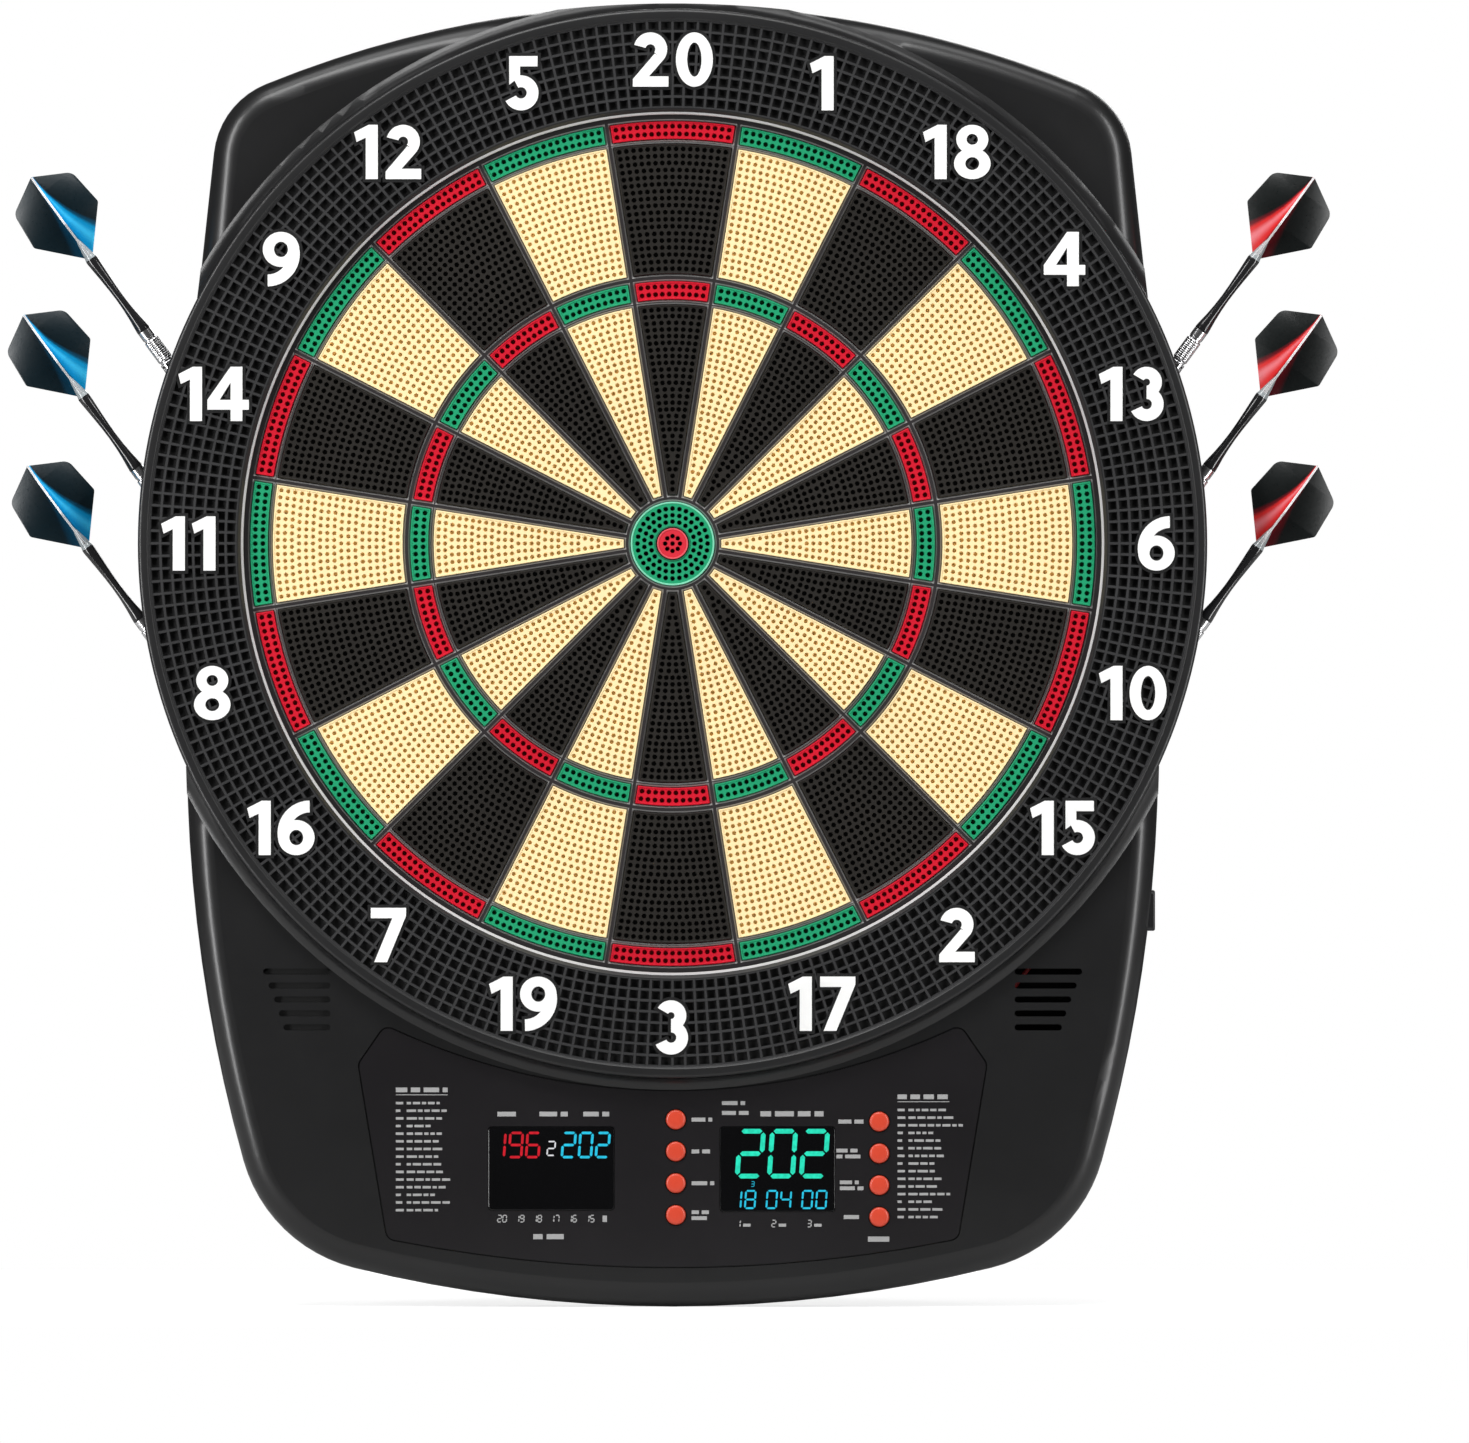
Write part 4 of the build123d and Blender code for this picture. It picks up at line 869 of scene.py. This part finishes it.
# ---- printing and lit digits on the panel -----------------------------------
def seven_segment(value, left, bottom, height, width, weight, slant=0.07):
    """The lit bars of one display digit, as loops."""
    bar = height * weight
    gap = height * 0.026
    lit = {
        "0": "abcdef", "1": "bc", "2": "abged", "3": "abgcd", "4": "fgbc",
        "5": "afgcd", "6": "afgedc", "7": "abc", "8": "abcdefg", "9": "abcdfg",
    }[value]
    half = height / 2
    spans = {
        "a": ((0, height), (width, height)), "g": ((0, half), (width, half)), "d": ((0, 0), (width, 0)),
        "f": ((0, half), (0, height)), "b": ((width, half), (width, height)),
        "e": ((0, 0), (0, half)), "c": ((width, 0), (width, half)),
    }
    loops = []
    for letter in lit:
        (x0, z0), (x1, z1) = spans[letter]
        start, end = Vector((x0, z0)), Vector((x1, z1))
        along = (end - start).normalized()
        across = Vector((-along.y, along.x)) * bar / 2
        start, end = start + along * gap, end - along * gap
        near, far = start + along * bar / 2, end - along * bar / 2
        points = [start, near - across, far - across, end, far + across, near + across]
        loops.append([(left + p.x + p.y * slant, bottom + p.y) for p in points])
    return loops


def thin(bm, loops, depth, lift):
    """Thin flat shapes standing on a surface at that depth."""
    for loop in loops:
        low_ring = [bm.verts.new(at(p, depth - 0.01)) for p in loop]
        high_ring = [bm.verts.new(at(p, depth + lift)) for p in loop]
        bridge(bm, low_ring, high_ring, 0)
        bm.faces.new(high_ring)
        bm.faces.new(low_ring)


def digits(text, left, bottom, height, pitch, width, weight=0.105):
    """The loops of a row of digits; a space takes 0.43 of the height."""
    loops = []
    x = left
    for letter in text:
        if letter != " ":
            loops += seven_segment(letter, x, bottom, height, width, weight)
        x += pitch if letter != " " else height * 0.43
    return loops


LIT = [
    ("lit_score_one", "196", -73.4, -248.7, 9.8, 7.0, 5.0, lit_red),
    ("lit_round", "2", -50.9, -248.0, 5.6, 4.0, 3.0, lit_white),
    ("lit_score_two", "202", -44.9, -248.7, 9.8, 6.9, 4.9, lit_cyan),
    ("lit_total", "202", 26.2, -256.4, 18.2, 13.0, 9.4, lit_green),
    ("lit_darts", "18 04 00", 23.6, -269.4, 7.0, 5.7, 3.9, lit_cyan),
    ("lit_multiplier", "3", 31.8, -260.6, 2.0, 1.6, 1.2, lit_cyan),
]
for name, text, left, bottom, height, pitch, width, material in LIT:
    bm = bmesh.new()
    thin(bm, digits(text, left, bottom, height, pitch, width), FACE, 0.06)
    piece = finish_mesh(name, bm, [material], 30)
    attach(piece, "board")

# Print on the panel: bars stand in for words, and only the numbers are real.
marks = []


def words(left, bottom, width, height):
    """A line of print, as bars of uneven length."""
    x = left
    while x < left + width - height:
        size = min(random.uniform(1.6, 4.2) * height, left + width - x)
        marks.append([(x, bottom), (x + size, bottom), (x + size, bottom + height), (x, bottom + height)])
        x += size + height * 0.75


for left, top in ((-112.2, -222.4), (91.2, -225.2)):
    words(left, top, 21.0, 1.9)
    marks.append([(left, top - 1.2), (left + 21.0, top - 1.2), (left + 21.0, top - 0.9), (left, top - 0.9)])
    for line in range(15):
        height = top - 4.9 - line * 3.1
        words(left, height, 3.2, 1.0)
        words(left + 4.4, height, random.uniform(10.5, 24.0 if line in (1, 2, 9) else 18.5), 1.0)
for left, width in ((-71.0, 10.5), (-54.0, 11.5), (-36.2, 10.5)):
    words(left, -232.2, width, 1.9)
words(-56.5, -282.0, 15.0, 2.1)
words(20.0, -227.6, 9.4, 1.6)
words(20.0, -231.6, 10.8, 1.6)
words(35.6, -232.2, 25.6, 2.1)
words(79.2, -283.0, 9.3, 2.1)
for column, text in enumerate(("20", "19", "18", "17", "16", "15")):
    marks += digits(text, -71.0 + column * 7.1, -275.0, 2.7, 2.05, 1.5, 0.17)
marks.append([(-28.4, -275.0), (-26.6, -275.0), (-26.6, -272.4), (-28.4, -272.4)])
for column, text in enumerate(("1", "2", "3")):
    marks += digits(text, 25.8 + column * 14.4, -277.0, 2.7, 2.05, 1.5, 0.17)
    words(28.6 + column * 14.4, -276.9, 3.0, 1.2)
LABELS = {
    "game": 8.4, "player": 9.2, "option": 9.2, "reset": 8.8,
    "power": 10.2, "volume": 11.0, "miss": 9.6, "enter": 8.0,
}
for word, length in LABELS.items():
    low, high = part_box(f"button_{word}")
    middle = (low + high) / 2 / MM
    left = middle.x + 6.4 if middle.x < 40 else middle.x - 6.4 - length
    if word in ("reset", "volume", "miss"):
        words(left, middle.z + 0.4, length * 0.8, 1.5)
        words(left, middle.z - 2.0, length, 1.5)
    else:
        words(left, middle.z - 0.8, length, 1.6)
bm = bmesh.new()
thin(bm, marks, FACE, 0.05)
piece = finish_mesh("panel_print", bm, [print_white], 30)
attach(piece, "board")


# ---- darts ------------------------------------------------------------------
DART_LENGTH = 138.5
FLIGHT_END = 40.5
BARREL_START = 77.5
BARREL_END = 117.5
TIP_NOSE = 0.8
BARREL_RADIUS = 3.25


def dart_matrix(node):
    """The dart's own frame, mirrored on the left: origin at the tail, +X on the side of the board's
    top, +Y into the wall, +Z towards the tip."""
    joint = next(j for j in frame["joints"] if j["child"] == node)
    inward = -Vector(joint["axis"]).normalized()
    side = 1 if inward.x < 0 else -1
    across = Vector((inward.z, 0, -inward.x)) * side
    low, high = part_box(node)
    nose_x = low.x + TIP_NOSE * MM * abs(across.x) if side > 0 else high.x - TIP_NOSE * MM * abs(across.x)
    nose = Vector((nose_x, (low.y + high.y) / 2, low.z + TIP_NOSE * MM * abs(across.z)))
    tail = nose - inward * DART_LENGTH * MM
    return Matrix((
        (across.x, 0, inward.x, tail.x),
        (across.y, 1, inward.y, tail.y),
        (across.z, 0, inward.z, tail.z),
        (0, 0, 0, 1),
    ))


def rounded(points, radii, steps=6):
    """A closed outline with its corners rounded by tangent arcs."""
    result = []
    for i, (point, radius) in enumerate(zip(points, radii)):
        here = Vector(point)
        if radius == 0:
            result.append(tuple(here))
            continue
        before = (Vector(points[i - 1]) - here).normalized()
        after = (Vector(points[(i + 1) % len(points)]) - here).normalized()
        half = before.angle(after) / 2
        reach = radius / math.tan(half)
        centre = here + (before + after).normalized() * radius / math.sin(half)
        start, end = here + before * reach - centre, here + after * reach - centre
        swing = start.angle_signed(end)
        for k in range(steps + 1):
            turned = start.copy()
            turned.rotate(Matrix.Rotation(-swing * k / steps, 2))
            result.append(tuple(centre + turned))
    return result


FIN = rounded(
    [(0.0, 0.0), (14.6, 8.2), (16.2, 24.0), (1.2, FLIGHT_END),
     (-1.2, FLIGHT_END), (-16.2, 24.0), (-14.6, 8.2)],
    [0, 4.6, 1.8, 0, 0, 1.8, 4.6],
)


def flight(bm):
    """Four thin fins; the two that stand towards and away from the player have a pale seam."""
    film_map = bm.loops.layers.uv.new("film")
    for turned in (False, True):
        sides = []
        for offset in (-0.22, -0.14, 0.14, 0.22):
            shrink = 0.1 if abs(offset) > 0.2 else 0.0
            ring = []
            for v, s in grown(FIN, -shrink) if shrink else FIN:
                spot = Vector((offset, -v, s)) if turned else Vector((v, offset, s))
                ring.append(bm.verts.new(spot * MM))
            sides.append(ring)
        for index, (first, second) in enumerate(zip(sides, sides[1:])):
            bridge(bm, first, second, 1 if turned and index == 1 else 0)
        bm.faces.new(sides[0])
        bm.faces.new(sides[-1])
    seam = [(v, s) for v, s in FIN if v >= 0 and (v, s) != FIN[3]]
    inner = [(v - 0.5, s) for v, s in seam]
    seam_rings = []
    for offset, line in ((-0.42, inner), (-0.42, seam), (0.42, seam), (0.42, inner)):
        seam_rings.append([bm.verts.new(Vector((offset, -v, s)) * MM) for v, s in line])
    for first, second in zip(seam_rings, seam_rings[1:] + seam_rings[:1]):
        for i in range(len(first) - 1):
            bm.faces.new((first[i], first[i + 1], second[i + 1], second[i])).material_index = 1
    for end in (0, -1):
        bm.faces.new([ring[end] for ring in seam_rings]).material_index = 1
    for face in bm.faces:
        for corner in face.loops:
            across = corner.vert.co.x - corner.vert.co.y
            corner[film_map].uv = (across / MM / 40 + 0.5, corner.vert.co.z / MM / 40)


DOT_ROWS = (94.6, 96.6, 98.6, 100.6, 102.6)
DOTS = 9


def barrel_radius(t, angle):
    """The barrel's surface: a plain collar, crossed knurling, then rows of drilled dots."""
    place = t - BARREL_START
    if place < 3.6 or place > BARREL_END - BARREL_START - 1.2:
        return BARREL_RADIUS - 0.35
    if place < 4.6 or 14.6 < place < 15.6 or 27.0 < place < 28.4:
        return BARREL_RADIUS - 0.6
    if place < 14.6 or place > 28.4:
        crossed = math.sin(14 * angle + 3.6 * place) * math.sin(14 * angle - 3.6 * place)
        return BARREL_RADIUS - 0.16 + 0.15 * crossed
    return BARREL_RADIUS - 0.55 if in_dot(t, angle) else BARREL_RADIUS - 0.05


def in_dot(t, angle):
    """Whether a spot on the barrel is inside one of the drilled dots."""
    for k, row in enumerate(DOT_ROWS):
        if abs(t - row) < 0.62:
            phase = (angle / TAU * DOTS + 0.5 * (k % 2)) % 1.0 - 0.5
            if math.hypot(t - row, phase * TAU * BARREL_RADIUS / DOTS) < 0.6:
                return True
    return False


def barrel(bm):
    """A turned metal barrel."""
    steps, count = 108, 160
    length = BARREL_END - BARREL_START
    rows = []
    for i in range(count + 1):
        t = BARREL_START + length * i / count
        ring = []
        for k in range(steps):
            angle = TAU * k / steps
            radius = barrel_radius(t, angle)
            ring.append(bm.verts.new(Vector((radius * math.cos(angle), radius * math.sin(angle), t)) * MM))
        rows.append(ring)
    for first, second in zip(rows, rows[1:]):
        bridge(bm, first, second, 0)
    # Faces in the drilled dots get the near-black bottom material: painted shade in the dots.
    for face in bm.faces:
        middle = face.calc_center_median() / MM
        if in_dot(middle.z, math.atan2(middle.y, middle.x)):
            face.material_index = 1
    bm.faces.new(rows[0])
    bm.faces.new(rows[-1])


def shaft(bm):
    """A waisted shaft with a slotted end that grips the flight, and a collar."""
    lathe(bm, SHAFT, 40)
    for face in bm.faces:
        if face.calc_center_median().z < 41.2 * MM:
            face.material_index = 1


def tip(bm):
    """A long soft point with a threaded root."""
    lathe(bm, TIP, 32)


SHAFT = [(0, 31.0), (0.45, 31.3), (1.0, 33.5), (1.7, 37.0), (2.2, 40.0), (2.55, 41.2), (2.6, 42.0),
         (2.45, 44.5), (2.1, 50.0), (1.8, 56.0), (1.7, 61.0), (1.85, 66.0), (2.2, 70.5), (2.75, 75.0),
         (2.95, 77.0), (2.85, 77.4), (0, 77.4)]
TIP = [(0, 117.55), (2.3, 117.55), (2.3, 119.0), (1.75, 119.6), (1.7, 121.5), (2.0, 122.0), (1.5, 126.0),
       (1.2, 131.0), (1.0, 135.5), (0.8, 137.6), (0.45, 138.3), (0, 138.5)]
DART_PIECES = [
    ("flight", flight, lambda film: [film, seam_white]),
    ("shaft", shaft, lambda film: [shaft_plastic, shaft_grey]),
    ("barrel", barrel, lambda film: [barrel_metal, painted_bottom_shade]),
    ("tip", tip, lambda film: [tip_plastic]),
]
for side, film, slot_name in (("left", film_blue, "dart_blue"), ("right", film_red, "dart_red")):
    for place in ("upper", "middle", "lower"):
        body = f"dart_{side}_{place}"
        for word, build, materials in DART_PIECES:
            bm = bmesh.new()
            build(bm)
            bmesh.ops.transform(bm, matrix=dart_matrix(body), verts=bm.verts)
            piece = finish_mesh(f"{word}_{side}_{place}", bm, materials(film), 40)
            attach(piece, body)
            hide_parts(body)

# ---- stage, light and camera ------------------------------------------------
FLOOR_Z = cad_bounds[0].z
paper = Nodes("paper")
tone = paper.ramp(paper.noise(6.0, 4.0), [(0.3, (0.55,) * 3), (0.7, (0.58,) * 3)])
paper.feed(paper.shader, "Base Color", tone)
paper.shader.inputs["Roughness"].default_value = 0.95
paper.shader.inputs["Specular IOR Level"].default_value = 0.1
paper.shader.inputs["Emission Color"].default_value = (1, 1, 1, 1)
seen_rays = paper.tree.nodes.new("ShaderNodeLightPath").outputs["Is Camera Ray"]
paper.feed(paper.shader, "Emission Strength", paper.math("MULTIPLY", seen_rays, 0.70))
bm = bmesh.new()
corners = [(-1.2, -0.27), (1.2, -0.27), (1.2, 0.5), (-1.2, 0.5)]
bm.faces.new([bm.verts.new((x, y, FLOOR_Z)) for x, y in corners])
finish_mesh("floor", bm, [paper.material], 60)


def softbox(name, position, target, size, power):
    """A rectangular light that points at a target."""
    data = bpy.data.lights.new(name, "AREA")
    data.shape = "RECTANGLE"
    data.size, data.size_y = size
    data.energy = power
    lamp = bpy.data.objects.new(name, data)
    lamp.location = position
    lamp.rotation_euler = (Vector(target) - Vector(position)).to_track_quat("-Z", "Y").to_euler()
    bpy.context.scene.collection.objects.link(lamp)


softbox("left_strip", (-1.45, -1.15, 0.1), (0, 0, 0), (0.32, 2.2), 31)
softbox("right_strip", (1.45, -1.15, 0.1), (0, 0, 0), (0.32, 2.2), 24)
softbox("top_key", (-0.3, -1.2, 1.7), (0, 0, 0), (1.6, 0.5), 26)
softbox("top_strip", (0, -0.2, 1.2), (0, -0.02, 0), (1.4, 0.35), 5)
softbox("rear_fill", (0.5, 1.7, 0.9), (0, 0, 0), (1.4, 0.9), 16)
world = bpy.data.worlds.new("studio")
world.use_nodes = True
sky = world.node_tree
seen = sky.nodes["Background"]
seen.inputs["Color"].default_value = (1, 1, 1, 1)
seen.inputs["Strength"].default_value = 1.0
dim = sky.nodes.new("ShaderNodeBackground")
dim.inputs["Color"].default_value = (1, 1, 1, 1)
dim.inputs["Strength"].default_value = 0.06
rays = sky.nodes.new("ShaderNodeLightPath")
choice = sky.nodes.new("ShaderNodeMixShader")
sky.links.new(rays.outputs["Is Camera Ray"], choice.inputs["Fac"])
sky.links.new(dim.outputs[0], choice.inputs[1])
sky.links.new(seen.outputs[0], choice.inputs[2])
sky.links.new(choice.outputs[0], sky.nodes["World Output"].inputs["Surface"])
bpy.context.scene.world = world
bpy.context.scene.view_settings.view_transform = "Standard"

# The camera looks straight at the face; its frame is as wide as the object and the space beside it.
FRAME_WIDTH = 0.5949
CAMERA_X = 0.0251
CAMERA_Z = -0.0721
CAMERA_DISTANCE = 8.0
camera = bpy.data.objects.new("camera", bpy.data.cameras.new("camera"))
camera.location = (CAMERA_X, -CAMERA_DISTANCE, CAMERA_Z)
camera.rotation_euler = (math.pi / 2, 0, 0)
camera.data.sensor_width = 36.0
camera.data.lens = 36.0 * (CAMERA_DISTANCE - RING_FRONT * MM) / FRAME_WIDTH
bpy.context.scene.collection.objects.link(camera)
bpy.context.scene.camera = camera
